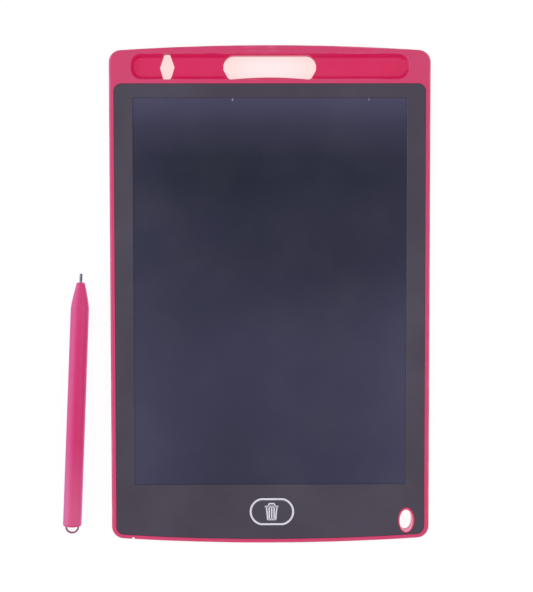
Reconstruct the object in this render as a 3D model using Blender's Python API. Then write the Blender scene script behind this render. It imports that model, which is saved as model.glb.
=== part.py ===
"""LCD writing tablet with its stylus.

Two moulded shells hold a laminated writing display, a push key that erases it, a small
driver board, a coin cell behind a screwed cover and a lock slider.  The stylus lies on the
left of the tablet.  Metres, +Z up out of the screen, +Y towards the pen groove, origin in
the middle of the flat back face.
"""
import math

import bmesh
import bpy

# Tablet outline
BODY_WIDTH = 0.1450
BODY_LENGTH = 0.2260
END_BOW = 0.0025
BODY_CORNER = 0.0056
TOP_EDGE_ROUND = 0.0011
BACK_EDGE_ROUND = 0.0008

# Stack of layers, from the back face up
REAR_WALL = 0.0012
RIB_HEIGHT = 0.0017
DECK_THICKNESS = 0.0009
ABSORBER_THICKNESS = 0.00012
REAR_FILM_THICKNESS = 0.00015
CRYSTAL_THICKNESS = 0.00006
WRITING_FILM_THICKNESS = 0.00015
TAPE_THICKNESS = 0.00008
MASK_THICKNESS = 0.00025
RIM_STEP = 0.00016
FOOT_DECK_THICKNESS = 0.00095

# Clearances and the overrun of every cut
SEAM_GAP = 0.0001
LAMINATE_GAP = 0.00003
SEAT_GAP = 0.00005
SLIDE_GAP = 0.0002
OVERRUN = 0.001

# Rim, mask and window
SIDE_BORDER = 0.00225
FOOT_BORDER = 0.0020
MASK_CORNER = 0.0035
WINDOW_SIDE_MARGIN = 0.0084
WINDOW_TOP_MARGIN = 0.00615
WINDOW_CORNER = 0.0004
FILM_MARGIN = 0.0030
FILM_CORNER = 0.0010
FILM_CLEARANCE = 0.0003
TAPE_INSET = 0.0010

# Pen groove and the openings in it
GROOVE_TOP_MARGIN = 0.00385
GROOVE_WIDTH = 0.0114
GROOVE_MASK_LAND = 0.00205
GROOVE_END_MARGIN = 0.00985
GROOVE_END_SHARE = 0.85
GROOVE_EDGE_ROUND = 0.00035
GROOVE_DRAFT = 0.0007
GROOVE_FILLET = 0.0004
GROOVE_FLOOR = 0.0008
GROOVE_DIP = 0.0003
GROOVE_DIP_SHARES = ((0.50, 0.75), (0.80, 1.00))
FINGER_LENGTH = 0.0420
FINGER_FOOT_LENGTH = 0.0364
FINGER_SHOULDER = 0.0064
FINGER_TOP_STEP = 0.0005
FINGER_FOOT_STEP = 0.0004
FINGER_TOP_CORNER = 0.0048
FINGER_SIDE_CORNER = 0.0035
FINGER_FOOT_CORNER = 0.0018
FINGER_BOW = 0.0013
BOW_SHARES = (-0.75, -0.5, -0.25, 0, 0.25, 0.5, 0.75)
STAND_HOLE_FROM_SIDE = 0.0261
STAND_HOLE_WIDTH = 0.0067
STAND_HOLE_TOP_FLAT = 0.0026
STAND_HOLE_FOOT_FLAT = 0.0032
STAND_HOLE_STEP = 0.0002
STAND_HOLE_END_CORNER = 0.0008
STAND_HOLE_SIDE_CORNER = 0.0012
SCOOP_LENGTH = 0.0340
SCOOP_WIDTH = 0.0022
SCOOP_DEPTH = 0.0003
SCOOP_LAND = 0.0006
SCOOP_TAPER = 0.0007

# Shell walls and ribs
FRAME_WALL = 0.0013
LIP_WALL = 0.0011
CAVITY_CORNER = 0.0020
HEAD_WALL = 0.0016
RIB_WALL = 0.0012
RIB_COLUMNS = 3
RIB_ROWS = 4
POCKET_CORNER = 0.0010
NOTCH_FROM_SIDE = 0.00975
NOTCH_WIDTH = 0.0012
NOTCH_DEPTH = 0.0010

# Lanyard eyelet
EYELET_FROM_SIDE = 0.0102
EYELET_FROM_FOOT = 0.0107
EYELET_WIDTH = 0.0078
EYELET_HEIGHT = 0.0118
EYELET_WALL = 0.0009
EYELET_STEP = 0.00006

# Erase key
KEY_OFFSET = 0.0007
KEY_FROM_MASK_FOOT = 0.0125
KEY_LENGTH = 0.0205
KEY_WIDTH = 0.0126
KEY_STRAIGHT = 0.0102
KEY_FLANGE = 0.0010
KEY_FLANGE_THICKNESS = 0.0005
KEY_EDGE_ROUND = 0.00006
KEY_WINDOW_LAND = 0.0062
PLUNGER_DIAMETER = 0.0044

# Driver board and what it carries
BOARD_THICKNESS = 0.0006
BOARD_LENGTH = 0.0540
BOARD_KEY_REACH = 0.0147
BOARD_UNDER_GAP = 0.0008
BOARD_EDGE_GAP = 0.0012
BOARD_CORNER = 0.0008
POST_DIAMETER = 0.0032
PIN_DIAMETER = 0.0014
PIN_HEIGHT = 0.0004
POST_INSET = 0.0030
DOME_DIAMETER = 0.0080
DOME_HEIGHT = 0.0003
DOME_THICKNESS = 0.00008
CHIP_SIZE = (0.0050, 0.0040, 0.00062)
CHIP_FROM_KEY = 0.0148
INDUCTOR_SIZE = (0.0040, 0.0040, 0.00066)
INDUCTOR_FROM_CHIP = 0.0066
STORAGE_CAP_SIZE = (0.0032, 0.0016, 0.0006)
STORAGE_CAP_FROM_INDUCTOR = 0.0060
FILTER_CAP_SIZE = (0.0020, 0.00125, 0.0005)
PART_ROW_STEP = 0.0038
DIODE_SIZE = (0.0026, 0.0014, 0.0005)
CHIP_CORNER = 0.0002

# Flex tail from the display to the board
TAIL_WIDTH = 0.0060
TAIL_THICKNESS = 0.0001
TAIL_FROM_KEY = 0.0150
TAIL_DROP = 0.0009
TAIL_LANDING = 0.0030
TAIL_SLOT_DEPTH = 0.0014
TAIL_BEND = 0.0002
TAIL_CLEARANCE = 0.0005

# Coin cell, its contacts and its cover
CELL_DIAMETER = 0.0200
CELL_HEIGHT = 0.0016
CELL_FROM_SIDE = 0.0325
CELL_CLEARANCE = 0.0003
CELL_RING_WALL = 0.0010
CELL_RING_HEIGHT = 0.0013
CELL_CRIMP_WALL = 0.0006
CELL_CRIMP_DEPTH = 0.0005
CELL_BOTTOM_ROUND = 0.00025
CELL_CAP_RISE = 0.0001
GASKET_WALL = 0.0004
CELL_FIT = 0.00005
CONTACT_WIDTH = 0.0040
CONTACT_THICKNESS = 0.00015
CONTACT_SPACING = 0.0028
CONTACT_LANDING = 0.0040
CONTACT_BEND = 0.0012
COVER_MARGIN = 0.0013
COVER_CORNER = 0.0030
COVER_RECESS = 0.0002
COVER_FLANGE = 0.00055
COVER_GAP = 0.00015
SCREW_PAD_DIAMETER = 0.0060
SCREW_PAD_HEIGHT = 0.0012
SCREW_LAND = 0.0008
SCREW_BOSS_WALL = 0.0009
SCREW_BOSS_HEIGHT = 0.0013
SCREW_BOSS_ROOF = 0.0002
SCREW_HEAD_DIAMETER = 0.0032
SCREW_HEAD_HEIGHT = 0.0005
SCREW_SHANK_DIAMETER = 0.0016
SCREW_SHANK_LENGTH = 0.0013
SCREW_RECESS = 0.00008
SCREW_SLOT_WIDTH = 0.0005
SCREW_SLOT_LENGTH = 0.0020
SCREW_SLOT_DEPTH = 0.00025

# Lock slider on the back
LOCK_FROM_BOARD_END = 0.0130
LOCK_TRAVEL = 0.0020
LOCK_GRIP_LENGTH = 0.0055
LOCK_GRIP_WIDTH = 0.0026
LOCK_GRIP_RECESS = 0.0002
LOCK_FLANGE_LENGTH = 0.0114
LOCK_FLANGE_WIDTH = 0.0050
LOCK_FLANGE_THICKNESS = 0.00035
LOCK_DISH_LENGTH = 0.0150
LOCK_DISH_WIDTH = 0.0064
LOCK_DISH_DEPTH = 0.0005
LOCK_DISH_TAPER = 0.0006
LOCK_CORNER = 0.0006
LOCK_GROOVES = 4
LOCK_GROOVE_WIDTH = 0.0004
LOCK_GROOVE_DEPTH = 0.0003
WIPER_LENGTH = 0.0060
WIPER_WIDTH = 0.0016
WIPER_THICKNESS = 0.0001
WIPER_RISE = 0.00016

# Stylus
STYLUS_TIP_FROM_SIDE = 0.0131
STYLUS_TIP_FROM_FOOT = 0.1234
STYLUS_LEAN = math.radians(2.5)
TIP_DIAMETER = 0.0013
TIP_EXPOSED = 0.0041
TIP_BALL_STEPS = 4
TIP_INSIDE = 0.0150
TIP_COLLAR_DIAMETER = 0.0026
TIP_COLLAR_LENGTH = 0.0020
NOSE_LENGTH = 0.0113
NOSE_PROFILE_SHARES = (
    (0, 0.37), (0.03, 0.46), (0.12, 0.51), (0.30, 0.63), (0.53, 0.765),
    (0.70, 0.86), (0.86, 0.94), (1.0, 0.985),
)
NOSE_SPIGOT_LENGTH = 0.0060
BARREL_FRONT_DIAMETER = 0.0082
BARREL_REAR_DIAMETER = 0.0084
BARREL_LENGTH = 0.0990
BARREL_WALL = 0.0011
BARREL_EDGE_ROUND = 0.00012
STYLUS_JOINT_GAP = 0.00015
PLUG_DEPTH = 0.0050
PLUG_RIM = 0.0005
LOOP_RADIUS = 0.0030
LOOP_STAND = 0.0009
LOOP_WIRE = 0.00085

# Fineness of curves
CORNER_STEPS = 7
BOW_STEPS = 12
ROUND_STEPS = 3
HOLE_CORNER_STEPS = 5
OVAL_STEPS = 32
TURN_STEPS = 32
SMALL_TURN_STEPS = 20
LOOP_STEPS = 12
WIRE_STEPS = 10
SHARP_ANGLE = math.radians(35)

# Colours as seen, eight bits a channel, then roughness and metallic
SHELL_PINK = ((205, 66, 108), 0.38, 0.0)
STYLUS_PINK = ((203, 56, 110), 0.32, 0.0)
LOOP_CRIMSON = ((150, 45, 80), 0.35, 0.0)
MASK_BLACK = ((78, 71, 84), 0.42, 0.0)
FILM_CLEAR = ((72, 67, 88), 0.30, 0.0)
CRYSTAL_BLUE = ((66, 61, 80), 0.35, 0.0)
ABSORBER_BLACK = ((22, 21, 26), 0.80, 0.0)
TAPE_GREY = ((120, 118, 116), 0.70, 0.0)
BOARD_GREEN = ((28, 92, 60), 0.45, 0.0)
CHIP_BLACK = ((30, 30, 32), 0.50, 0.0)
FERRITE_GREY = ((74, 72, 72), 0.60, 0.0)
CERAMIC_TAN = ((176, 150, 116), 0.50, 0.0)
FLEX_AMBER = ((172, 104, 38), 0.40, 0.0)
STEEL = ((190, 190, 192), 0.28, 1.0)
NICKEL = ((198, 194, 184), 0.30, 1.0)
BRONZE = ((192, 148, 96), 0.30, 1.0)
GASKET_GREY = ((150, 150, 146), 0.60, 0.0)
TIP_METAL = ((113, 104, 110), 0.35, 1.0)


def end_radius():
    """Radius of the bowed end edges."""
    half = BODY_WIDTH / 2
    return (half * half + END_BOW * END_BOW) / (2 * END_BOW)


def end_height(x, inset):
    """How far from the middle the bowed end lies at x, drawn in by inset."""
    radius = end_radius()
    return BODY_LENGTH / 2 - radius + math.sqrt((radius - inset) ** 2 - x * x)


# Levels of the stack, from the back face up
deck_underside = REAR_WALL + RIB_HEIGHT + SEAT_GAP
deck_top = deck_underside + DECK_THICKNESS
absorber_base = deck_top + LAMINATE_GAP
rear_film_base = absorber_base + ABSORBER_THICKNESS + LAMINATE_GAP
crystal_base = rear_film_base + REAR_FILM_THICKNESS + LAMINATE_GAP
writing_base = crystal_base + CRYSTAL_THICKNESS + LAMINATE_GAP
mask_seat = writing_base + WRITING_FILM_THICKNESS
tape_base = mask_seat + LAMINATE_GAP
mask_base = tape_base + TAPE_THICKNESS + LAMINATE_GAP
mask_top = mask_base + MASK_THICKNESS
rim_top = mask_top + RIM_STEP
frame_base = REAR_WALL + SEAM_GAP
foot_underside = mask_seat - FOOT_DECK_THICKNESS
floor_centre = frame_base + GROOVE_FLOOR
floor_edge = floor_centre + GROOVE_DIP

# Plan places
half_width = BODY_WIDTH / 2
half_length = BODY_LENGTH / 2
groove_top = half_length - GROOVE_TOP_MARGIN
groove_foot = groove_top - GROOVE_WIDTH
groove_y = (groove_top + groove_foot) / 2
mask_head = groove_foot - GROOVE_MASK_LAND
mask_half = half_width - SIDE_BORDER
mask_foot = half_length - FOOT_BORDER
key_y = KEY_FROM_MASK_FOOT - mask_foot
window_half = mask_half - WINDOW_SIDE_MARGIN
window_head = mask_head - WINDOW_TOP_MARGIN
window_foot = key_y + KEY_WIDTH / 2 + KEY_WINDOW_LAND
pocket_foot = window_foot - FILM_MARGIN - FILM_CLEARANCE
foot_cavity_head = pocket_foot - HEAD_WALL / 2
cavity_head = mask_head - HEAD_WALL
lip_inset = FRAME_WALL + SEAM_GAP
bay_inset = lip_inset + LIP_WALL
eyelet_x = half_width - EYELET_FROM_SIDE
eyelet_y = EYELET_FROM_FOOT - half_length
stand_hole_x = STAND_HOLE_FROM_SIDE - half_width
notch_x = NOTCH_FROM_SIDE - half_width

# Coin cell, board and lock places
cell_radius = CELL_DIAMETER / 2
cell_ring_inner = cell_radius + CELL_CLEARANCE
cell_ring_outer = cell_ring_inner + CELL_RING_WALL
cell_x = CELL_FROM_SIDE - half_width
cell_y = cell_ring_outer + SLIDE_GAP - end_height(cell_x - cell_radius, bay_inset)
bay_head = cell_y + cell_ring_outer + SLIDE_GAP
cover_top = REAR_WALL - SEAT_GAP
cell_base = REAR_WALL + SEAT_GAP
screw_pad_radius = SCREW_PAD_DIAMETER / 2
screw_x = cell_x - cell_ring_inner - SCREW_LAND - screw_pad_radius
board_left = KEY_OFFSET - BOARD_KEY_REACH
board_right = board_left + BOARD_LENGTH
board_head = foot_cavity_head - BOARD_EDGE_GAP
board_foot = BOARD_EDGE_GAP - end_height(board_right, bay_inset)
board_y = (board_head + board_foot) / 2
board_base = REAR_WALL + BOARD_UNDER_GAP + SEAT_GAP
board_top = board_base + BOARD_THICKNESS
part_base = board_top + LAMINATE_GAP
lock_x = board_right - LOCK_FROM_BOARD_END
lock_y = board_y


def arc(centre_x, centre_y, radius, start, end, steps):
    """Points along an arc, both ends included."""
    points = []
    for step in range(steps + 1):
        angle = start + (end - start) * step / steps
        points.append((centre_x + radius * math.cos(angle), centre_y + radius * math.sin(angle)))
    return points


def end_edge(half, crown, corner, inset, bow_radius):
    """A round corner, a bowed or straight end edge at +Y, and the other corner."""
    corner_x = half - corner
    quarter = math.pi / 2
    lean = 0
    corner_y = crown - corner
    edge = []
    if bow_radius:
        bow_centre = crown - bow_radius
        lean = math.asin(corner_x / (bow_radius - corner))
        corner_y = bow_centre + (bow_radius - corner) * math.cos(lean)
        edge = arc(0, bow_centre, bow_radius - inset, quarter - lean, quarter + lean, BOW_STEPS)[1:-1]
    right = arc(corner_x, corner_y, corner - inset, 0, quarter - lean, CORNER_STEPS)
    left = arc(-corner_x, corner_y, corner - inset, quarter + lean, math.pi, CORNER_STEPS)
    return right + edge + left


def turned_round(points):
    """The same points turned half a turn about the origin."""
    return [(-x, -y) for x, y in points]


def body_outline(inset):
    """The tablet's plan, drawn in by inset."""
    end = end_edge(half_width, half_length, BODY_CORNER, inset, end_radius())
    return end + turned_round(end)


def mask_outline(inset):
    """The mask's plan: straight at the head, bowed with the body at the foot."""
    head = end_edge(mask_half, mask_head, MASK_CORNER, inset, 0)
    foot = end_edge(mask_half, mask_foot, MASK_CORNER, inset, end_radius() - FOOT_BORDER)
    return head + turned_round(foot)


def cavity_outline(head, inset, extra):
    """The hollow inside the frame's wall, from the foot up to head, drawn in by extra."""
    half = half_width - inset
    upper = end_edge(half, head, CAVITY_CORNER, extra, 0)
    lower = end_edge(half, half_length - inset, CAVITY_CORNER, extra, end_radius() - inset)
    return upper + turned_round(lower)


def rounded_box(centre_x, centre_y, half_x, half_y, corner, steps):
    """A rectangle with round corners."""
    reach_x = half_x - corner
    reach_y = half_y - corner
    quarter = math.pi / 2
    points = []
    for turn, (side_x, side_y) in enumerate(((1, 1), (-1, 1), (-1, -1), (1, -1))):
        middle_x = centre_x + side_x * reach_x
        middle_y = centre_y + side_y * reach_y
        points += arc(middle_x, middle_y, corner, turn * quarter, (turn + 1) * quarter, steps)
    return points


def oval(centre_x, centre_y, half_x, half_y, steps):
    """An ellipse."""
    points = []
    for step in range(steps):
        angle = 2 * math.pi * step / steps
        points.append((centre_x + half_x * math.cos(angle), centre_y + half_y * math.sin(angle)))
    return points


def rounded_polygon(corners, steps):
    """A polygon whose corners, given as x, y and radius, are rounded where the radius isn't zero."""
    points = []
    count = len(corners)
    for index, (x, y, radius) in enumerate(corners):
        if not radius:
            points.append((x, y))
            continue
        before_x, before_y, _ = corners[index - 1]
        after_x, after_y, _ = corners[(index + 1) % count]
        heading_in = math.atan2(y - before_y, x - before_x)
        heading_out = math.atan2(after_y - y, after_x - x)
        swing = (heading_out - heading_in + math.pi) % (2 * math.pi) - math.pi
        back = radius * math.tan(abs(swing) / 2)
        side = math.copysign(math.pi / 2, swing)
        start_x = x - back * math.cos(heading_in)
        start_y = y - back * math.sin(heading_in)
        centre_x = start_x + radius * math.cos(heading_in + side)
        centre_y = start_y + radius * math.sin(heading_in + side)
        first = heading_in - side
        points += arc(centre_x, centre_y, radius, first, first + swing, steps)
    return points


def key_outline(grow):
    """The key's plan about its own middle: two straight edges joined by round ends."""
    half_long = KEY_LENGTH / 2
    half_wide = KEY_WIDTH / 2
    half_straight = KEY_STRAIGHT / 2
    spread = half_long ** 2 - half_straight ** 2 - half_wide ** 2
    centre = spread / (2 * (half_long - half_straight))
    radius = half_long - centre
    swing = math.asin(half_wide / radius)
    right = arc(centre, 0, radius + grow, -swing, swing, 2 * CORNER_STEPS)
    return right + turned_round(right)


def finger_outline():
    """The finger opening: straight at the top, round ends, lower edge bowed up."""
    top = groove_top - FINGER_TOP_STEP
    foot = groove_foot - FINGER_FOOT_STEP
    half_top = FINGER_LENGTH / 2
    half_foot = FINGER_FOOT_LENGTH / 2
    corners = [
        (half_top, top, FINGER_TOP_CORNER),
        (-half_top, top, FINGER_TOP_CORNER),
        (-half_top, top - FINGER_SHOULDER, FINGER_SIDE_CORNER),
        (-half_foot, foot, FINGER_FOOT_CORNER),
    ]
    for share in BOW_SHARES:
        corners.append((share * half_foot, foot + FINGER_BOW * (1 - share * share), 0))
    corners.append((half_foot, foot, FINGER_FOOT_CORNER))
    corners.append((half_top, top - FINGER_SHOULDER, FINGER_SIDE_CORNER))
    return rounded_polygon(corners, HOLE_CORNER_STEPS)


def stand_hole_outline():
    """The six-sided hole in the groove that takes the stylus as a prop."""
    half_high = GROOVE_WIDTH / 2 + STAND_HOLE_STEP
    half_wide = STAND_HOLE_WIDTH / 2
    half_top = STAND_HOLE_TOP_FLAT / 2
    half_foot = STAND_HOLE_FOOT_FLAT / 2
    x = stand_hole_x
    corners = [
        (x + half_wide, groove_y, STAND_HOLE_SIDE_CORNER),
        (x + half_top, groove_y + half_high, STAND_HOLE_END_CORNER),
        (x - half_top, groove_y + half_high, STAND_HOLE_END_CORNER),
        (x - half_wide, groove_y, STAND_HOLE_SIDE_CORNER),
        (x - half_foot, groove_y - half_high, STAND_HOLE_END_CORNER),
        (x + half_foot, groove_y - half_high, STAND_HOLE_END_CORNER),
    ]
    return rounded_polygon(corners, ROUND_STEPS)


def scoop_outline(inset):
    """A shallow lens for the thumb above the finger opening."""
    half_long = SCOOP_LENGTH / 2 - inset * SCOOP_LENGTH / SCOOP_WIDTH
    half_wide = SCOOP_WIDTH / 2 - inset
    middle = groove_top + GROOVE_EDGE_ROUND + SCOOP_LAND + SCOOP_WIDTH / 2
    return oval(0, middle, half_long, half_wide, OVAL_STEPS)


def eyelet_outline(wall):
    """The oval of the lanyard eyelet, drawn in by wall."""
    return oval(eyelet_x, eyelet_y, EYELET_WIDTH / 2 - wall, EYELET_HEIGHT / 2 - wall, OVAL_STEPS)


def notch_outline():
    """A small nick in the foot edge where the shells are prised apart."""
    edge = -end_height(notch_x, 0)
    half = NOTCH_WIDTH / 2
    low = edge - OVERRUN
    high = edge + NOTCH_DEPTH
    return [(notch_x - half, low), (notch_x + half, low), (notch_x + half, high), (notch_x - half, high)]


def box_outline(left, foot, right, head):
    """A plain rectangle."""
    return [(left, foot), (right, foot), (right, head), (left, head)]


def linear(channel):
    """One channel from its eight-bit display value to the linear value that shaders use."""
    value = channel / 255
    if value <= 0.04045:
        return value / 12.92
    return ((value + 0.055) / 1.055) ** 2.4


def make_material(name, finish):
    """A Principled material with one colour, roughness and metallic value."""
    colour, roughness, metallic = finish
    material = bpy.data.materials.new(name)
    material.use_nodes = True
    shader = material.node_tree.nodes["Principled BSDF"]
    shader.inputs["Base Color"].default_value = [linear(channel) for channel in colour] + [1]
    shader.inputs["Roughness"].default_value = roughness
    shader.inputs["Metallic"].default_value = metallic
    return material


def add_object(name, mesh_builder, finish, location=(0, 0, 0), parent=None):
    """A named object from a bmesh, with its own material and smooth shading."""
    bmesh.ops.recalc_face_normals(mesh_builder, faces=mesh_builder.faces)
    mesh = bpy.data.meshes.new(name)
    mesh_builder.to_mesh(mesh)
    mesh_builder.free()
    mesh.shade_smooth()
    mesh.set_sharp_from_angle(angle=SHARP_ANGLE)
    piece = bpy.data.objects.new(name, mesh)
    bpy.context.collection.objects.link(piece)
    if finish:
        mesh.materials.append(make_material(name, finish))
    piece.location = location
    piece.parent = parent
    return piece


def loft_into(builder, rings):
    """Add a closed solid through rings, each an outline and its level, lowest or first ring first."""
    layers = []
    for outline, level in rings:
        layers.append([builder.verts.new((x, y, level)) for x, y in outline])
    for lower, upper in zip(layers, layers[1:]):
        count = len(lower)
        for index in range(count):
            after = (index + 1) % count
            builder.faces.new((lower[index], lower[after], upper[after], upper[index]))
    builder.faces.new(reversed(layers[0]))
    builder.faces.new(layers[-1])


def loft(name, rings, finish, location=(0, 0, 0), parent=None):
    """A named solid lofted through rings."""
    builder = bmesh.new()
    loft_into(builder, rings)
    return add_object(name, builder, finish, location, parent)


def prism(outline, low, high):
    """The two rings of a straight-sided solid."""
    return [(outline, low), (outline, high)]


def tool(name, solids):
    """A hidden cutting or joining shape made of separate lofted solids."""
    builder = bmesh.new()
    for rings in solids:
        loft_into(builder, rings)
    shape = add_object(name, builder, None)
    shape.hide_render = True
    shape.display_type = "WIRE"
    return shape


def apply_shape(piece, shape, operation):
    """Cut or join a shape with an exact Boolean."""
    modifier = piece.modifiers.new(shape.name, "BOOLEAN")
    modifier.operation = operation
    modifier.solver = "EXACT"
    modifier.object = shape


def cut(piece, name, solids):
    """Cut solids out of a piece."""
    apply_shape(piece, tool(name, solids), "DIFFERENCE")


def join(piece, name, solids):
    """Join solids to a piece."""
    apply_shape(piece, tool(name, solids), "UNION")


def turn(name, profile, steps, finish, location=(0, 0, 0), parent=None):
    """A solid turned about +Z from a profile of radius and height.

    A profile that starts and ends on the axis closes there; any other is a closed loop.
    """
    builder = bmesh.new()
    rings = []
    for radius, height in profile:
        count = steps if radius else 1
        ring = []
        for step in range(count):
            angle = 2 * math.pi * step / steps
            ring.append(builder.verts.new((radius * math.cos(angle), radius * math.sin(angle), height)))
        rings.append(ring)
    pairs = list(zip(rings, rings[1:]))
    if len(rings[0]) > 1:
        pairs.append((rings[-1], rings[0]))
    for first, second in pairs:
        for step in range(steps):
            after = (step + 1) % steps
            corners = [first[step % len(first)], first[after % len(first)]]
            corners += [second[after % len(second)], second[step % len(second)]]
            unique = list(dict.fromkeys(corners))
            if len(unique) > 2:
                builder.faces.new(unique)
    return add_object(name, builder, finish, location, parent)


def strip(name, path, width, thickness, along, finish, location):
    """A bent flat strip: a path in the plane of `along` and Z, with a width across it."""
    normals = []
    for index in range(len(path)):
        before = path[max(index - 1, 0)]
        after = path[min(index + 1, len(path) - 1)]
        run = after[0] - before[0]
        rise = after[1] - before[1]
        length = math.hypot(run, rise)
        normals.append((-rise / length, run / length))
    half = thickness / 2
    upper = [(p[0] + n[0] * half, p[1] + n[1] * half) for p, n in zip(path, normals)]
    lower = [(p[0] - n[0] * half, p[1] - n[1] * half) for p, n in zip(path, normals)]
    section = upper + lower[::-1]
    builder = bmesh.new()
    sides = []
    for side in (-width / 2, width / 2):
        if along == "X":
            sides.append([builder.verts.new((run, side, rise)) for run, rise in section])
        else:
            sides.append([builder.verts.new((side, run, rise)) for run, rise in section])
    count = len(path)
    for index in range(2 * count):
        after = (index + 1) % (2 * count)
        builder.faces.new((sides[0][index], sides[0][after], sides[1][after], sides[1][index]))
    for side in sides:
        for index in range(count - 1):
            mirror = 2 * count - 1 - index
            builder.faces.new((side[index], side[index + 1], side[mirror - 1], side[mirror]))
    return add_object(name, builder, finish, location)


def pivot(name, location, rotation=(0, 0, 0)):
    """An empty on a joint's axis, which carries the moving pieces."""
    axis = bpy.data.objects.new(name, None)
    bpy.context.collection.objects.link(axis)
    axis.location = location
    axis.rotation_euler = rotation
    return axis


def groove_rings():
    """The pen groove from above: rounded edge, drafted walls, fillet and a dished floor."""
    half_long = half_width - GROOVE_END_MARGIN
    half_wide = GROOVE_WIDTH / 2
    corner = half_wide * GROOVE_END_SHARE

    def ring(inset, level):
        outline = rounded_box(0, groove_y, half_long - inset, half_wide - inset,
                              corner - inset, CORNER_STEPS)
        return (outline, level)

    rings = [ring(-GROOVE_EDGE_ROUND, rim_top + OVERRUN)]
    for step in range(ROUND_STEPS + 1):
        angle = math.pi / 2 * (1 - step / ROUND_STEPS)
        out = GROOVE_EDGE_ROUND * (1 - math.cos(angle))
        drop = GROOVE_EDGE_ROUND * (1 - math.sin(angle))
        rings.append(ring(-out, rim_top - drop))
    for step in range(ROUND_STEPS + 1):
        angle = math.pi / 2 * step / ROUND_STEPS
        inwards = GROOVE_DRAFT + GROOVE_FILLET * (1 - math.cos(angle))
        level = floor_edge + GROOVE_FILLET * (1 - math.sin(angle))
        rings.append(ring(inwards, level))
    for inset_share, dip_share in GROOVE_DIP_SHARES:
        rings.append(ring(inset_share * corner, floor_edge - dip_share * GROOVE_DIP))
    return rings[::-1]


def front_frame():
    """Front shell: rim, head with the pen groove, deck under the display, lanyard eyelet."""
    rings = [(body_outline(0), frame_base)]
    for step in range(ROUND_STEPS + 2):
        angle = math.pi / 2 * step / (ROUND_STEPS + 1)
        inset = TOP_EDGE_ROUND * (1 - math.cos(angle))
        level = rim_top - TOP_EDGE_ROUND * (1 - math.sin(angle))
        rings.append((body_outline(inset), level))
    frame = loft("front_frame", rings, SHELL_PINK)

    above = rim_top + OVERRUN
    below = frame_base - OVERRUN
    scoop_low = rim_top - SCOOP_DEPTH
    scoop = [(scoop_outline(SCOOP_TAPER), scoop_low), (scoop_outline(0), rim_top)]
    scoop.append((scoop_outline(0), above))
    cut(frame, "groove_and_seat", [prism(mask_outline(-SEAM_GAP), mask_seat, above), groove_rings(), scoop])

    grow = FILM_CLEARANCE
    pocket = film_outline(grow)
    cut(frame, "display_pocket", [prism(pocket, deck_top, above)])
    cut(frame, "display_hollow", [prism(cavity_outline(cavity_head, FRAME_WALL, 0), below, deck_underside)])
    foot_hollow = cavity_outline(foot_cavity_head, FRAME_WALL, 0)
    cut(frame, "foot_hollow", [prism(foot_hollow, below, foot_underside)])

    eyelet = prism(eyelet_outline(0), frame_base, mask_top + EYELET_STEP)
    join(frame, "eyelet_boss", [eyelet])

    tail_x = KEY_OFFSET + TAIL_FROM_KEY
    tail_half = TAIL_WIDTH / 2 + TAIL_CLEARANCE
    tail_slot = box_outline(tail_x - tail_half, pocket_foot - TAIL_SLOT_DEPTH, tail_x + tail_half,
                            pocket_foot + OVERRUN)
    key_hole = [(x + KEY_OFFSET, y + key_y) for x, y in key_outline(KEY_FLANGE + SLIDE_GAP)]
    cut(frame, "openings", [
        prism(finger_outline(), below, above),
        prism(stand_hole_outline(), below, above),
        prism(eyelet_outline(EYELET_WALL), below, above),
        prism(notch_outline(), below, above),
        prism(tail_slot, below, above),
        prism(key_hole, below, above),
    ])
    return frame


def film_outline(grow):
    """The display sheets' plan: the window and a margin under the mask."""
    half_x = window_half + FILM_MARGIN + grow
    head = window_head + FILM_MARGIN + grow
    foot = window_foot - FILM_MARGIN - grow
    return rounded_box(0, (head + foot) / 2, half_x, (head - foot) / 2, FILM_CORNER + grow, ROUND_STEPS)


def rib_pockets():
    """The pockets that leave a grid of ribs behind the deck."""
    left = bay_inset - half_width
    span_x = -2 * left
    foot = bay_head + RIB_WALL
    span_y = cavity_head - SEAM_GAP - LIP_WALL - foot
    width = (span_x - (RIB_COLUMNS - 1) * RIB_WALL) / RIB_COLUMNS
    height = (span_y - (RIB_ROWS - 1) * RIB_WALL) / RIB_ROWS
    pockets = []
    for column in range(RIB_COLUMNS):
        for row in range(RIB_ROWS):
            x = left + width / 2 + column * (width + RIB_WALL)
            y = foot + height / 2 + row * (height + RIB_WALL)
            outline = rounded_box(x, y, width / 2, height / 2, POCKET_CORNER, ROUND_STEPS)
            pockets.append(prism(outline, REAR_WALL, deck_underside + OVERRUN))
    return pockets


def post_places():
    """The four corners of the board where posts carry it."""
    places = []
    for x in (board_left + POST_INSET, board_right - POST_INSET):
        for y in (board_foot + POST_INSET, board_head - POST_INSET):
            places.append((x, y))
    return places


def pin_places():
    """The two opposite posts whose pins locate the board."""
    places = post_places()
    return [places[0], places[-1]]


def lock_box(length, width, corner):
    """A rounded box about the lock's middle of travel."""
    middle = lock_x + LOCK_TRAVEL / 2
    return rounded_box(middle, lock_y, length / 2, width / 2, corner, ROUND_STEPS)


def cover_outline(grow):
    """The battery cover's plan, reaching from the cell to past its screw."""
    right = cell_x + cell_radius + COVER_MARGIN + grow
    left = screw_x - screw_pad_radius - COVER_MARGIN - grow
    half_y = cell_radius + COVER_MARGIN + grow
    return rounded_box((left + right) / 2, cell_y, (right - left) / 2, half_y,
                       COVER_CORNER + grow, ROUND_STEPS)


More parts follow.
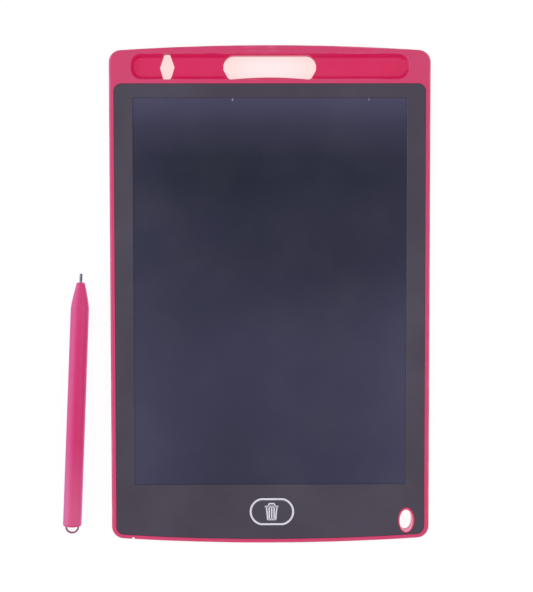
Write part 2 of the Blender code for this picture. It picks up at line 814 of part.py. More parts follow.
def rear_cover():
    """Rear shell: back wall, lip inside the frame, ribs, board posts, cell ring and lock slot."""
    rings = []
    for step in range(ROUND_STEPS + 1):
        angle = math.pi / 2 * step / ROUND_STEPS
        inset = BACK_EDGE_ROUND * (1 - math.sin(angle))
        rings.append((body_outline(inset), BACK_EDGE_ROUND * (1 - math.cos(angle))))
    rings.append((body_outline(0), REAR_WALL))
    cover = loft("rear_cover", rings, SHELL_PINK)

    mid_wall = REAR_WALL / 2
    rib_top = REAR_WALL + RIB_HEIGHT
    inner = cavity_outline(cavity_head, FRAME_WALL, SEAM_GAP)
    join(cover, "rib_block", [prism(inner, mid_wall, rib_top)])
    bay = cavity_outline(bay_head, FRAME_WALL, SEAM_GAP + LIP_WALL)
    cut(cover, "rib_pockets", rib_pockets() + [prism(bay, REAR_WALL, rib_top + OVERRUN)])

    post_top = REAR_WALL + BOARD_UNDER_GAP
    post_radius = POST_DIAMETER / 2
    posts = []
    for x, y in post_places() + [(KEY_OFFSET, key_y)]:
        posts.append(prism(oval(x, y, post_radius, post_radius, SMALL_TURN_STEPS), mid_wall, post_top))
    ring_top = REAR_WALL + CELL_RING_HEIGHT
    posts.append(prism(oval(cell_x, cell_y, cell_ring_outer, cell_ring_outer, TURN_STEPS), mid_wall, ring_top))
    join(cover, "posts_and_ring", posts)
    pin_radius = PIN_DIAMETER / 2
    pins = []
    for x, y in pin_places():
        pins.append(prism(oval(x, y, pin_radius, pin_radius, SMALL_TURN_STEPS), mid_wall, board_top + PIN_HEIGHT))
    join(cover, "locating_pins", pins)
    boss_radius = screw_pad_radius + COVER_GAP + SCREW_BOSS_WALL
    boss_top = REAR_WALL + SCREW_BOSS_HEIGHT
    boss = prism(oval(screw_x, cell_y, boss_radius, boss_radius, SMALL_TURN_STEPS), mid_wall, boss_top)
    join(cover, "screw_boss", [boss])

    under = -OVERRUN
    seat = COVER_RECESS + COVER_FLANGE + SEAT_GAP
    cut(cover, "cover_seat", [prism(cover_outline(COVER_GAP), under, seat)])
    well = prism(oval(cell_x, cell_y, cell_ring_inner, cell_ring_inner, TURN_STEPS), under, ring_top + OVERRUN)
    pad_radius = screw_pad_radius + COVER_GAP
    pad_roof = COVER_RECESS + SCREW_PAD_HEIGHT + SEAT_GAP
    pad_hole = prism(oval(screw_x, cell_y, pad_radius, pad_radius, SMALL_TURN_STEPS), under, pad_roof)
    cut(cover, "cell_well", [well, pad_hole])
    pilot_radius = SCREW_SHANK_DIAMETER / 2 + SEAM_GAP
    pilot = prism(oval(screw_x, cell_y, pilot_radius, pilot_radius, SMALL_TURN_STEPS), under,
                  boss_top - SCREW_BOSS_ROOF)
    cut(cover, "pilot_hole", [pilot])
    half_gate = CONTACT_SPACING / 2 + CONTACT_WIDTH
    gate = box_outline(cell_x + cell_radius / 2, cell_y - half_gate, board_left, cell_y + half_gate)
    cut(cover, "contact_gate", [prism(gate, REAR_WALL + SEAT_GAP, ring_top + OVERRUN)])

    dish_out = lock_box(LOCK_DISH_LENGTH, LOCK_DISH_WIDTH, LOCK_CORNER + LOCK_DISH_TAPER)
    shrink = 2 * LOCK_DISH_TAPER
    dish_in = lock_box(LOCK_DISH_LENGTH - shrink, LOCK_DISH_WIDTH - shrink, LOCK_CORNER)
    dish = [(dish_out, under), (dish_out, 0), (dish_in, LOCK_DISH_DEPTH)]
    slot_length = LOCK_GRIP_LENGTH + LOCK_TRAVEL + 2 * SLIDE_GAP
    slot = lock_box(slot_length, LOCK_GRIP_WIDTH + 2 * SLIDE_GAP, LOCK_CORNER)
    cut(cover, "lock_dish", [dish])
    above = rib_top + OVERRUN
    cut(cover, "back_openings", [
        prism(slot, under, REAR_WALL + OVERRUN / 2),
        prism(finger_outline(), under, above),
        prism(stand_hole_outline(), under, above),
        prism(eyelet_outline(EYELET_WALL), under, REAR_WALL + OVERRUN / 2),
        prism(notch_outline(), under, above),
    ])
    return cover


def display_layers():
    """The laminated display under the mask, one sheet at a time."""
    sheets = (
        ("light_absorber_sheet", absorber_base, ABSORBER_THICKNESS, ABSORBER_BLACK),
        ("rear_film", rear_film_base, REAR_FILM_THICKNESS, FILM_CLEAR),
        ("liquid_crystal_layer", crystal_base, CRYSTAL_THICKNESS, CRYSTAL_BLUE),
        ("writing_film", writing_base, WRITING_FILM_THICKNESS, FILM_CLEAR),
    )
    for name, base, thickness, finish in sheets:
        loft(name, prism(film_outline(0), base, base + thickness), finish)


def window_outline(grow):
    """The clear window in the mask."""
    middle = (window_head + window_foot) / 2
    half_y = (window_head - window_foot) / 2
    return rounded_box(0, middle, window_half + grow, half_y + grow, WINDOW_CORNER + grow, ROUND_STEPS)


def mask_and_tape():
    """The black mask with its window, key and eyelet cut-outs, and the tape frame under it."""
    low = tape_base - OVERRUN
    high = mask_top + OVERRUN
    key_hole = [(x + KEY_OFFSET, y + key_y) for x, y in key_outline(SLIDE_GAP)]
    mask = loft("mask_film", prism(mask_outline(0), mask_base, mask_top), MASK_BLACK)
    cut(mask, "mask_cuts", [
        prism(window_outline(0), low, high),
        prism(key_hole, low, high),
        prism(eyelet_outline(-SEAM_GAP), low, high),
    ])
    tape_top = tape_base + TAPE_THICKNESS
    tape = loft("mask_tape", prism(mask_outline(TAPE_INSET), tape_base, tape_top), TAPE_GREY)
    flange_grow = KEY_FLANGE + FILM_CLEARANCE
    flange_hole = [(x + KEY_OFFSET, y + key_y) for x, y in key_outline(flange_grow)]
    cut(tape, "tape_cuts", [
        prism(window_outline(TAPE_INSET), low, high),
        prism(flange_hole, low, high),
        prism(eyelet_outline(-FILM_CLEARANCE), low, high),
    ])


def erase_key():
    """The push key: cap flush with the mask, flange under it and a plunger over the dome."""
    flange_top = mask_base - SEAT_GAP
    flange_base = flange_top - KEY_FLANGE_THICKNESS
    plunger_base = part_base + DOME_HEIGHT + SEAT_GAP
    axis = pivot("erase_key_axis", (KEY_OFFSET, key_y, plunger_base))
    flange = key_outline(KEY_FLANGE)
    cap = key_outline(0)
    plunger = []
    for x, y in flange:
        reach = PLUNGER_DIAMETER / 2 / math.hypot(x, y)
        plunger.append((x * reach, y * reach))
    rings = [
        (plunger, 0),
        (plunger, flange_base - plunger_base),
        (flange, flange_base - plunger_base),
        (flange, flange_top - plunger_base),
        (cap, flange_top - plunger_base),
        (cap, mask_top - KEY_EDGE_ROUND - plunger_base),
        (key_outline(-KEY_EDGE_ROUND), mask_top - plunger_base),
    ]
    loft("erase_key", rings, MASK_BLACK, parent=axis)


def snap_dome():
    """The sprung metal dome on the board under the key."""
    shares = (0, 0.3, 0.6, 0.85, 1)
    radius = DOME_DIAMETER / 2
    crown = DOME_HEIGHT - DOME_THICKNESS
    outer = [(share * radius, DOME_THICKNESS + crown * (1 - share * share)) for share in shares]
    inner = [(share * radius, crown * (1 - share * share)) for share in reversed(shares)]
    place = (KEY_OFFSET, key_y, part_base)
    turn("snap_dome", outer + inner, TURN_STEPS, STEEL, place)


def driver_board():
    """The circuit board on its posts, with holes for the two locating pins."""
    half_x = BOARD_LENGTH / 2
    half_y = (board_head - board_foot) / 2
    middle_x = (board_left + board_right) / 2
    outline = rounded_box(middle_x, board_y, half_x, half_y, BOARD_CORNER, ROUND_STEPS)
    board = loft("circuit_board", prism(outline, board_base, board_top), BOARD_GREEN)
    hole_radius = PIN_DIAMETER / 2 + SLIDE_GAP
    holes = []
    for x, y in pin_places():
        hole = oval(x, y, hole_radius, hole_radius, SMALL_TURN_STEPS)
        holes.append(prism(hole, board_base - OVERRUN, board_top + OVERRUN))
    cut(board, "pin_holes", holes)


def board_parts():
    """The few parts on the board: driver chip, inductor, two capacitors and a diode."""
    chip_x = KEY_OFFSET + CHIP_FROM_KEY
    inductor_x = chip_x + INDUCTOR_FROM_CHIP
    capacitor_x = inductor_x + STORAGE_CAP_FROM_INDUCTOR
    low_row = board_y - PART_ROW_STEP
    parts = (
        ("driver_chip", CHIP_SIZE, chip_x, board_y, CHIP_BLACK),
        ("boost_inductor", INDUCTOR_SIZE, inductor_x, low_row, FERRITE_GREY),
        ("storage_capacitor", STORAGE_CAP_SIZE, capacitor_x, low_row, CERAMIC_TAN),
        ("filter_capacitor", FILTER_CAP_SIZE, capacitor_x, board_y, CERAMIC_TAN),
        ("rectifier_diode", DIODE_SIZE, chip_x, low_row, CHIP_BLACK),
    )
    for name, (length, width, height), x, y, finish in parts:
        outline = rounded_box(0, 0, length / 2, width / 2, CHIP_CORNER, ROUND_STEPS)
        loft(name, prism(outline, 0, height), finish, (x, y, part_base))


def flex_tail():
    """The printed tail from the display's foot edge down to the board."""
    film_foot = window_foot - FILM_MARGIN
    start = film_foot - LAMINATE_GAP
    down_y = film_foot - TAIL_DROP
    top_z = rear_film_base + REAR_FILM_THICKNESS / 2
    low_z = part_base + TAIL_THICKNESS / 2
    path = [
        (start, top_z),
        (down_y + TAIL_BEND, top_z),
        (down_y, top_z - TAIL_BEND),
        (down_y, low_z + TAIL_BEND),
        (down_y - TAIL_BEND, low_z),
        (board_head - TAIL_LANDING, low_z),
    ]
    strip("display_flex_tail", path, TAIL_WIDTH, TAIL_THICKNESS, "Y", FLEX_AMBER,
          (KEY_OFFSET + TAIL_FROM_KEY, 0, 0))


def coin_cell():
    """The coin cell: can below, cap above, and the gasket between them."""
    place = (cell_x, cell_y, cell_base)
    can_top = CELL_HEIGHT - CELL_CAP_RISE
    crimp_inner = cell_radius - CELL_CRIMP_WALL
    crimp_floor = can_top - CELL_CRIMP_DEPTH
    can = [
        (0, 0),
        (cell_radius - CELL_BOTTOM_ROUND, 0),
        (cell_radius, CELL_BOTTOM_ROUND),
        (cell_radius, can_top),
        (crimp_inner, can_top),
        (crimp_inner, crimp_floor),
        (0, crimp_floor),
    ]
    turn("coin_cell_can", can, TURN_STEPS, STEEL, place)
    gasket_outer = crimp_inner - CELL_FIT
    gasket_inner = gasket_outer - GASKET_WALL
    gasket = [
        (gasket_outer, crimp_floor + CELL_FIT),
        (gasket_outer, can_top),
        (gasket_inner, can_top),
        (gasket_inner, crimp_floor + CELL_FIT),
    ]
    turn("coin_cell_gasket", gasket, TURN_STEPS, GASKET_GREY, place)
    cap_radius = gasket_inner - CELL_FIT
    cap = [
        (0, crimp_floor + CELL_FIT),
        (cap_radius, crimp_floor + CELL_FIT),
        (cap_radius, can_top),
        (cap_radius - CELL_CAP_RISE, CELL_HEIGHT),
        (0, CELL_HEIGHT),
    ]
    turn("coin_cell_cap", cap, TURN_STEPS, STEEL, place)


def cell_contacts():
    """Two sprung strips on the board: one over the cell's cap, one beside its can."""
    half = CONTACT_THICKNESS / 2
    low_z = part_base + half
    landing = board_left + CONTACT_LANDING
    over_z = cell_base + CELL_HEIGHT + SEAT_GAP + half
    ramp = board_left - CONTACT_BEND
    upper_y = cell_y + CONTACT_SPACING
    lower_y = cell_y - CONTACT_SPACING
    negative = [(cell_x, over_z), (ramp - CONTACT_BEND, over_z), (ramp, low_z), (landing, low_z)]
    strip("negative_contact", negative, CONTACT_WIDTH, CONTACT_THICKNESS, "X", NICKEL, (0, upper_y, 0))
    near_edge = CONTACT_SPACING - CONTACT_WIDTH / 2
    reach = math.sqrt(cell_radius ** 2 - near_edge ** 2)
    side_x = cell_x + reach + SEAT_GAP + half
    turn_x = side_x + CONTACT_THICKNESS
    positive = [
        (side_x, cell_base + CONTACT_BEND / 2),
        (side_x, low_z - CONTACT_THICKNESS),
        (turn_x, low_z),
        (landing, low_z),
    ]
    strip("positive_contact", positive, CONTACT_WIDTH, CONTACT_THICKNESS, "X", NICKEL, (0, lower_y, 0))


def battery_cover():
    """The battery cover with its screw, both recessed so that the back still lies flat."""
    axis = pivot("battery_cover_axis", (cell_x, cell_y, 0))
    low = COVER_RECESS
    flange_top = low + COVER_FLANGE
    plate = [(x - cell_x, y - cell_y) for x, y in cover_outline(0)]
    cover = loft("battery_cover", prism(plate, low, flange_top), SHELL_PINK, parent=axis)
    pad_x = screw_x - cell_x
    plug_radius = cell_ring_inner - COVER_GAP
    mid_flange = low + COVER_FLANGE / 2
    plug = prism(oval(cell_x, cell_y, plug_radius, plug_radius, TURN_STEPS), mid_flange, cover_top)
    pad = prism(oval(screw_x, cell_y, screw_pad_radius, screw_pad_radius, SMALL_TURN_STEPS), mid_flange,
                low + SCREW_PAD_HEIGHT)
    join(cover, "cover_plug_and_pad", [plug, pad])
    head_radius = SCREW_HEAD_DIAMETER / 2 + SEAM_GAP
    hole_radius = SCREW_SHANK_DIAMETER / 2 + SEAM_GAP
    head_floor = low + SCREW_RECESS + SCREW_HEAD_HEIGHT + SEAT_GAP
    under = low - OVERRUN
    counterbore = oval(screw_x, cell_y, head_radius, head_radius, SMALL_TURN_STEPS)
    hole = oval(screw_x, cell_y, hole_radius, hole_radius, SMALL_TURN_STEPS)
    cut(cover, "screw_counterbore", [prism(counterbore, under, head_floor)])
    cut(cover, "screw_hole", [prism(hole, under, low + SCREW_PAD_HEIGHT + OVERRUN)])

    head_base = low + SCREW_RECESS
    head_top = head_base + SCREW_HEAD_HEIGHT
    head = SCREW_HEAD_DIAMETER / 2
    shank = SCREW_SHANK_DIAMETER / 2
    profile = [(0, head_base), (head, head_base), (head, head_top), (shank, head_top)]
    profile += [(shank, head_top + SCREW_SHANK_LENGTH), (0, head_top + SCREW_SHANK_LENGTH)]
    screw = turn("cover_screw", profile, SMALL_TURN_STEPS, STEEL, (pad_x, 0, 0), axis)
    half_long = SCREW_SLOT_LENGTH / 2
    half_wide = SCREW_SLOT_WIDTH / 2
    slot_a = box_outline(screw_x - half_long, cell_y - half_wide, screw_x + half_long, cell_y + half_wide)
    slot_b = box_outline(screw_x - half_wide, cell_y - half_long, screw_x + half_wide, cell_y + half_long)
    slot_top = head_base + SCREW_SLOT_DEPTH
    cut(screw, "screw_slot_along", [prism(slot_a, under, slot_top)])
    cut(screw, "screw_slot_across", [prism(slot_b, under, slot_top)])


def lock_slider():
    """The lock knob in its slot in the back, with the wiper that it carries under the board."""
    axis = pivot("lock_slider_axis", (lock_x, lock_y, 0))
    grip = rounded_box(0, 0, LOCK_GRIP_LENGTH / 2, LOCK_GRIP_WIDTH / 2, LOCK_CORNER, ROUND_STEPS)
    flange = rounded_box(0, 0, LOCK_FLANGE_LENGTH / 2, LOCK_FLANGE_WIDTH / 2, LOCK_CORNER, ROUND_STEPS)
    flange_base = REAR_WALL + SEAT_GAP
    flange_top = flange_base + LOCK_FLANGE_THICKNESS
    rings = prism(grip, LOCK_GRIP_RECESS, flange_base) + prism(flange, flange_base, flange_top)
    knob = loft("lock_knob", rings, MASK_BLACK, parent=axis)
    pitch = LOCK_GRIP_LENGTH / (LOCK_GROOVES + 1)
    half = LOCK_GROOVE_WIDTH / 2
    floor = LOCK_GRIP_RECESS + LOCK_GROOVE_DEPTH
    grooves = []
    for index in range(LOCK_GROOVES):
        x = lock_x - LOCK_GRIP_LENGTH / 2 + pitch * (index + 1)
        outline = box_outline(x - half, lock_y - LOCK_GRIP_WIDTH, x + half, lock_y + LOCK_GRIP_WIDTH)
        grooves.append(prism(outline, LOCK_GRIP_RECESS - OVERRUN, floor))
    cut(knob, "grip_grooves", grooves)

    low_z = flange_top + SEAT_GAP + WIPER_THICKNESS / 2
    high_z = low_z + WIPER_RISE
    reach = WIPER_LENGTH / 2
    bend = WIPER_LENGTH / 4
    path = [(-reach, high_z), (-bend, low_z), (bend, low_z), (reach, high_z)]
    wiper = strip("lock_wiper", path, WIPER_WIDTH, WIPER_THICKNESS, "X", BRONZE, (0, 0, 0))
    wiper.parent = axis


def stylus():
    """The stylus: steel tip, nose cone, hollow barrel and an end plug with its cord loop."""
    rear_radius = BARREL_REAR_DIAMETER / 2
    tip_place = (-half_width - STYLUS_TIP_FROM_SIDE, STYLUS_TIP_FROM_FOOT - half_length, rear_radius)
    axis = pivot("stylus_axis", tip_place, (math.pi / 2, 0, -STYLUS_LEAN))
    tip_radius = TIP_DIAMETER / 2
    collar_radius = TIP_COLLAR_DIAMETER / 2
    collar_start = TIP_EXPOSED + TIP_INSIDE - TIP_COLLAR_LENGTH
    tip_end = TIP_EXPOSED + TIP_INSIDE
    profile = []
    for step in range(TIP_BALL_STEPS + 1):
        angle = math.pi / 2 * step / TIP_BALL_STEPS
        profile.append((tip_radius * math.sin(angle), tip_radius * (1 - math.cos(angle))))
    profile[0] = (0, 0)
    profile += [(tip_radius, collar_start), (collar_radius, collar_start), (collar_radius, tip_end), (0, tip_end)]
    turn("stylus_tip", profile, SMALL_TURN_STEPS, TIP_METAL, parent=axis)

    front_radius = BARREL_FRONT_DIAMETER / 2
    bore = front_radius - BARREL_WALL
    nose_end = TIP_EXPOSED + NOSE_LENGTH
    spigot_end = nose_end + NOSE_SPIGOT_LENGTH
    spigot_radius = bore - STYLUS_JOINT_GAP
    inner = tip_radius + SEAM_GAP
    profile = []
    for along_share, radius_share in NOSE_PROFILE_SHARES:
        profile.append((front_radius * radius_share, TIP_EXPOSED + along_share * NOSE_LENGTH))
    profile += [(spigot_radius, nose_end), (spigot_radius, spigot_end)]
    seat = collar_radius + SEAM_GAP
    seat_start = collar_start - SEAM_GAP
    profile += [(seat, spigot_end), (seat, seat_start), (inner, seat_start), (inner, TIP_EXPOSED)]
    turn("stylus_nose", profile, TURN_STEPS, STYLUS_PINK, parent=axis)

    barrel_start = nose_end + STYLUS_JOINT_GAP
    barrel_end = barrel_start + BARREL_LENGTH
    edge = BARREL_EDGE_ROUND
    profile = [
        (bore, barrel_start),
        (front_radius - edge, barrel_start),
        (front_radius, barrel_start + edge),
        (rear_radius, barrel_end - edge),
        (rear_radius - edge, barrel_end),
        (bore, barrel_end),
    ]
    turn("stylus_barrel", profile, TURN_STEPS, STYLUS_PINK, parent=axis)

    rim_start = barrel_end + STYLUS_JOINT_GAP
    rim_end = rim_start + PLUG_RIM
    profile = [
        (0, barrel_end - PLUG_DEPTH),
        (spigot_radius, barrel_end - PLUG_DEPTH),
        (spigot_radius, rim_start),
        (rear_radius - edge, rim_start),
        (rear_radius - edge, rim_end - edge),
        (rear_radius - 2 * edge, rim_end),
        (0, rim_end),
    ]
    plug = turn("stylus_end_plug", profile, TURN_STEPS, LOOP_CRIMSON, parent=axis)
    loop = cord_loop(rim_start, axis)
    apply_shape(plug, loop, "UNION")


def cord_loop(base, axis):
    """A half ring of wire on two short legs, which stands on the end plug."""
    builder = bmesh.new()
    rings = []
    stations = [(0, base)]
    for step in range(LOOP_STEPS + 1):
        stations.append((math.pi * step / LOOP_STEPS, base + LOOP_STAND))
    stations.append((math.pi, base))
    for turn_angle, centre in stations:
        ring = []
        for side in range(WIRE_STEPS):
            angle = 2 * math.pi * side / WIRE_STEPS
            reach = LOOP_RADIUS + LOOP_WIRE / 2 * math.cos(angle)
            across = LOOP_WIRE / 2 * math.sin(angle)
            point = (reach * math.cos(turn_angle), across, centre + reach * math.sin(turn_angle))
            ring.append(builder.verts.new(point))
        rings.append(ring)
    for first, second in zip(rings, rings[1:]):
        for side in range(WIRE_STEPS):
            after = (side + 1) % WIRE_STEPS
            builder.faces.new((first[side], first[after], second[after], second[side]))
    builder.faces.new(reversed(rings[0]))
    builder.faces.new(rings[-1])
    loop = add_object("cord_loop_shape", builder, None, parent=axis)
    loop.hide_render = True
    loop.display_type = "WIRE"
    return loop


def main():
    for old in list(bpy.data.objects):
        bpy.data.objects.remove(old, do_unlink=True)
    front_frame()
    rear_cover()
    display_layers()
    mask_and_tape()
    erase_key()
    snap_dome()
    driver_board()
    board_parts()
    flex_tail()
    coin_cell()
    cell_contacts()
    battery_cover()
    lock_slider()
    stylus()


main()
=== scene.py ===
# %% [markdown]
# # LCD writing tablet with its stylus
# The real object is a thin tablet moulded in raspberry pink plastic. A pressure sensitive film
# under a black mask shows what is drawn on it, one key wipes it, and the stylus lies beside it.
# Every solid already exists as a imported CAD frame. This lesson dresses that frame: it rebuilds
# the surfaces that show with finer curves and gives every piece a procedural finish.
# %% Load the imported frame
import math

import bmesh
import bpy
from mathutils import Matrix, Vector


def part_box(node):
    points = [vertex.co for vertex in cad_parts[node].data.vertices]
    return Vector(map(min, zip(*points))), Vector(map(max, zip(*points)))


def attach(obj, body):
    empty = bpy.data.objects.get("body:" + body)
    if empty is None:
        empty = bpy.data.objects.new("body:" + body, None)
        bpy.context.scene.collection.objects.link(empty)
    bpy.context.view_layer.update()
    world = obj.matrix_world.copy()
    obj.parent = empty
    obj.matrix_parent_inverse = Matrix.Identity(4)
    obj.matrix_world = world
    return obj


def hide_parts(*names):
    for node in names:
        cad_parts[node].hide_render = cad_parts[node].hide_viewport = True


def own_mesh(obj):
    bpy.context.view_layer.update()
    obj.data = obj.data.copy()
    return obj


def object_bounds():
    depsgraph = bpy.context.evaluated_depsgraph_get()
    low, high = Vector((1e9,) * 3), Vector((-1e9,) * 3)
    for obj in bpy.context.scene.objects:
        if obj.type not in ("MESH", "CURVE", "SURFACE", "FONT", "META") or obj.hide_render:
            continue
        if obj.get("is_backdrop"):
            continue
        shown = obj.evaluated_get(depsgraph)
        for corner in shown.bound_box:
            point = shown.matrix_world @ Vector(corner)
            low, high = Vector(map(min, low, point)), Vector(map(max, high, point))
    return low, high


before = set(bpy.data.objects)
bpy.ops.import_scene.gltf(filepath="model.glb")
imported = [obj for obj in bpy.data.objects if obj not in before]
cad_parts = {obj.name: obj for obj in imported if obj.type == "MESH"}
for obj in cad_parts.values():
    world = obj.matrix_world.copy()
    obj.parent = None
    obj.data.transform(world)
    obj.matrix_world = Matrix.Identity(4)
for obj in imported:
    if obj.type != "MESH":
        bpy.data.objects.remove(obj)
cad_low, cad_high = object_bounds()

# %% [markdown]
# ## Levels and places
# A thin product is designed as a stack of layers, so the first thing to settle is the height of
# each layer. Most of them are read from the frame's own boxes instead of being typed again:
# then a change in the CAD moves the dressed pieces too. Only the values that no box tells, such
# as the radius of an edge, are written here, in metres.
# %% Levels and places from the frame
shell_low, shell_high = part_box("front_frame")
mask_low, mask_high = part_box("mask_film")
film_low, film_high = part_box("writing_film")
board_low, board_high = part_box("circuit_board")
cell_low, cell_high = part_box("coin_cell_can")
key_low, key_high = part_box("erase_key")

half_width = shell_high.x
half_length = shell_high.y
rim_top = shell_high.z
frame_base = shell_low.z
mask_seat = film_high.z
REAR_WALL = 0.0012
RIB_HEIGHT = 0.0017
SEAT_GAP = 0.00005
SEAM_GAP = 0.0001
SLIDE_GAP = 0.0002
OVERRUN = 0.001
DECK_GAP = 0.00003
FOOT_DECK_THICKNESS = 0.00095
deck_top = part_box("light_absorber_sheet")[0].z - DECK_GAP
deck_underside = REAR_WALL + RIB_HEIGHT + SEAT_GAP
foot_underside = mask_seat - FOOT_DECK_THICKNESS
above = rim_top + OVERRUN
below = frame_base - OVERRUN
print(f"tablet {2000 * half_width:.1f} x {2000 * half_length:.1f} x {1000 * rim_top:.1f} mm")

# %% [markdown]
# ## Outlines
# Each moulded part starts as a plan: a closed row of points seen from the front. The tablet's
# ends are bowed arcs of a large circle that run into small round corners, and the mask and the
# hollow inside follow them. Written as functions of an inset, one outline gives the rounded edge
# of a shell, the gap round a key and the flare of a hole, so nothing is drawn twice.
# %% Arcs and the bowed end
END_BOW = 0.0025
BODY_CORNER = 0.0056
CORNER_STEPS = 14
BOW_STEPS = 36
end_radius = (half_width ** 2 + END_BOW ** 2) / (2 * END_BOW)
quarter = math.pi / 2


def arc(centre_x, centre_y, radius, start, end, steps):
    """Points along an arc, both ends included."""
    angles = [start + (end - start) * step / steps for step in range(steps + 1)]
    return [(centre_x + radius * math.cos(a), centre_y + radius * math.sin(a)) for a in angles]


def end_edge(half, crown, corner, inset, bow_radius):
    """A round corner, a bowed or straight end edge at +Y, and the other corner."""
    corner_x = half - corner
    lean = 0
    corner_y = crown - corner
    edge = []
    if bow_radius:
        bow_centre = crown - bow_radius
        lean = math.asin(corner_x / (bow_radius - corner))
        corner_y = bow_centre + (bow_radius - corner) * math.cos(lean)
        edge = arc(0, bow_centre, bow_radius - inset, quarter - lean, quarter + lean, BOW_STEPS)[1:-1]
    right = arc(corner_x, corner_y, corner - inset, 0, quarter - lean, CORNER_STEPS)
    left = arc(-corner_x, corner_y, corner - inset, quarter + lean, math.pi, CORNER_STEPS)
    return right + edge + left


def turned_round(points):
    """The same points turned half a turn about the origin."""
    return [(-x, -y) for x, y in points]


def body_outline(grow):
    """The tablet's plan, let out by grow."""
    end = end_edge(half_width, half_length, BODY_CORNER, -grow, end_radius)
    return end + turned_round(end)


print(f"{len(body_outline(0))} points in the tablet's outline, end radius {end_radius:.3f} m")

# %% Mask, hollow, boxes and ovals
MASK_CORNER = 0.0035
CAVITY_CORNER = 0.0020
ROUND_STEPS = 6
OVAL_STEPS = 80
mask_half = mask_high.x
foot_border = half_length + mask_low.y


def mask_outline(grow):
    """The mask's plan: straight at the head, bowed with the body at the foot."""
    head = end_edge(mask_half, mask_high.y, MASK_CORNER, -grow, 0)
    foot = end_edge(mask_half, -mask_low.y, MASK_CORNER, -grow, end_radius - foot_border)
    return head + turned_round(foot)


def cavity_outline(head, inset, extra):
    """The hollow inside the frame's wall, from the foot up to head, drawn in by extra."""
    half = half_width - inset
    upper = end_edge(half, head, CAVITY_CORNER, extra, 0)
    lower = end_edge(half, half_length - inset, CAVITY_CORNER, extra, end_radius - inset)
    return upper + turned_round(lower)


def rounded_box(centre_x, centre_y, half_x, half_y, corner, steps=ROUND_STEPS):
    """A rectangle with round corners."""
    points = []
    for turn, (side_x, side_y) in enumerate(((1, 1), (-1, 1), (-1, -1), (1, -1))):
        middle_x = centre_x + side_x * (half_x - corner)
        middle_y = centre_y + side_y * (half_y - corner)
        points += arc(middle_x, middle_y, corner, turn * quarter, (turn + 1) * quarter, steps)
    return points


def oval(centre_x, centre_y, half_x, half_y, steps=OVAL_STEPS):
    """An ellipse, or a circle where both halves are the same."""
    angles = [2 * math.pi * step / steps for step in range(steps)]
    return [(centre_x + half_x * math.cos(a), centre_y + half_y * math.sin(a)) for a in angles]


def rounded_polygon(corners, steps):
    """A polygon of x, y and corner radius, whose corners are rounded where the radius isn't zero."""
    points = []
    for index, (x, y, radius) in enumerate(corners):
        if not radius:
            points.append((x, y))
            continue
        before_x, before_y, _ = corners[index - 1]
        after_x, after_y, _ = corners[(index + 1) % len(corners)]
        heading_in = math.atan2(y - before_y, x - before_x)
        heading_out = math.atan2(after_y - y, after_x - x)
        swing = (heading_out - heading_in + math.pi) % (2 * math.pi) - math.pi
        back = radius * math.tan(abs(swing) / 2)
        side = math.copysign(quarter, swing)
        centre_x = x - back * math.cos(heading_in) + radius * math.cos(heading_in + side)
        centre_y = y - back * math.sin(heading_in) + radius * math.sin(heading_in + side)
        first = heading_in - side
        points += arc(centre_x, centre_y, radius, first, first + swing, steps)
    return points


print(f"mask {2000 * mask_half:.1f} mm wide, foot border {1000 * foot_border:.2f} mm")

# %% [markdown]
# ## From outlines to solids
# A mould maker thinks in drafts, fillets and cuts, and the helpers below do the same. A loft
# joins outlines at rising levels into one closed solid, a cut or a join is an exact Boolean,
# and a flare widens a cutting tool near the surface so that the hole gets a rounded lip. The
# last helper shades the result: large flat faces keep flat normals, and only the roundings bend.
# %% Loft outlines into solids
def loft_into(builder, rings):
    """Add a closed solid through rings, each an outline and its level."""
    layers = [[builder.verts.new((x, y, level)) for x, y in outline] for outline, level in rings]
    count = len(layers[0])
    for lower, upper in zip(layers, layers[1:]):
        for index in range(count):
            after = (index + 1) % count
            builder.faces.new((lower[index], lower[after], upper[after], upper[index]))
    builder.faces.new(reversed(layers[0]))
    builder.faces.new(layers[-1])


def link_mesh(name, builder):
    """A linked object from a bmesh, with its faces turned outwards."""
    bmesh.ops.recalc_face_normals(builder, faces=builder.faces)
    mesh = bpy.data.meshes.new(name)
    builder.to_mesh(mesh)
    builder.free()
    piece = bpy.data.objects.new(name, mesh)
    bpy.context.scene.collection.objects.link(piece)
    return piece


def solid(name, *shapes):
    """An object made of one or more separate lofted solids."""
    builder = bmesh.new()
    for rings in shapes:
        loft_into(builder, rings)
    return link_mesh(name, builder)


print("loft helpers ready")

# %% Carve and shade
SHARP_ANGLE = math.radians(32)
MERGE_DISTANCE = 1e-7


def make_plain(piece):
    """Replace the piece's mesh by what its modifiers make of it."""
    graph = bpy.context.evaluated_depsgraph_get()
    made = bpy.data.meshes.new_from_object(piece.evaluated_get(graph), preserve_all_data_layers=True,
                                           depsgraph=graph)
    piece.modifiers.clear()
    spent = piece.data
    piece.data = made
    bpy.data.meshes.remove(spent)


def carve(piece, operation, *shapes):
    """Cut solids out of the piece with DIFFERENCE, or join them to it with UNION."""
    tool = solid("carving_tool", *shapes)
    modifier = piece.modifiers.new("carve", "BOOLEAN")
    modifier.operation = operation
    modifier.solver = "EXACT"
    modifier.object = tool
    make_plain(piece)
    spent = tool.data
    bpy.data.objects.remove(tool)
    bpy.data.meshes.remove(spent)


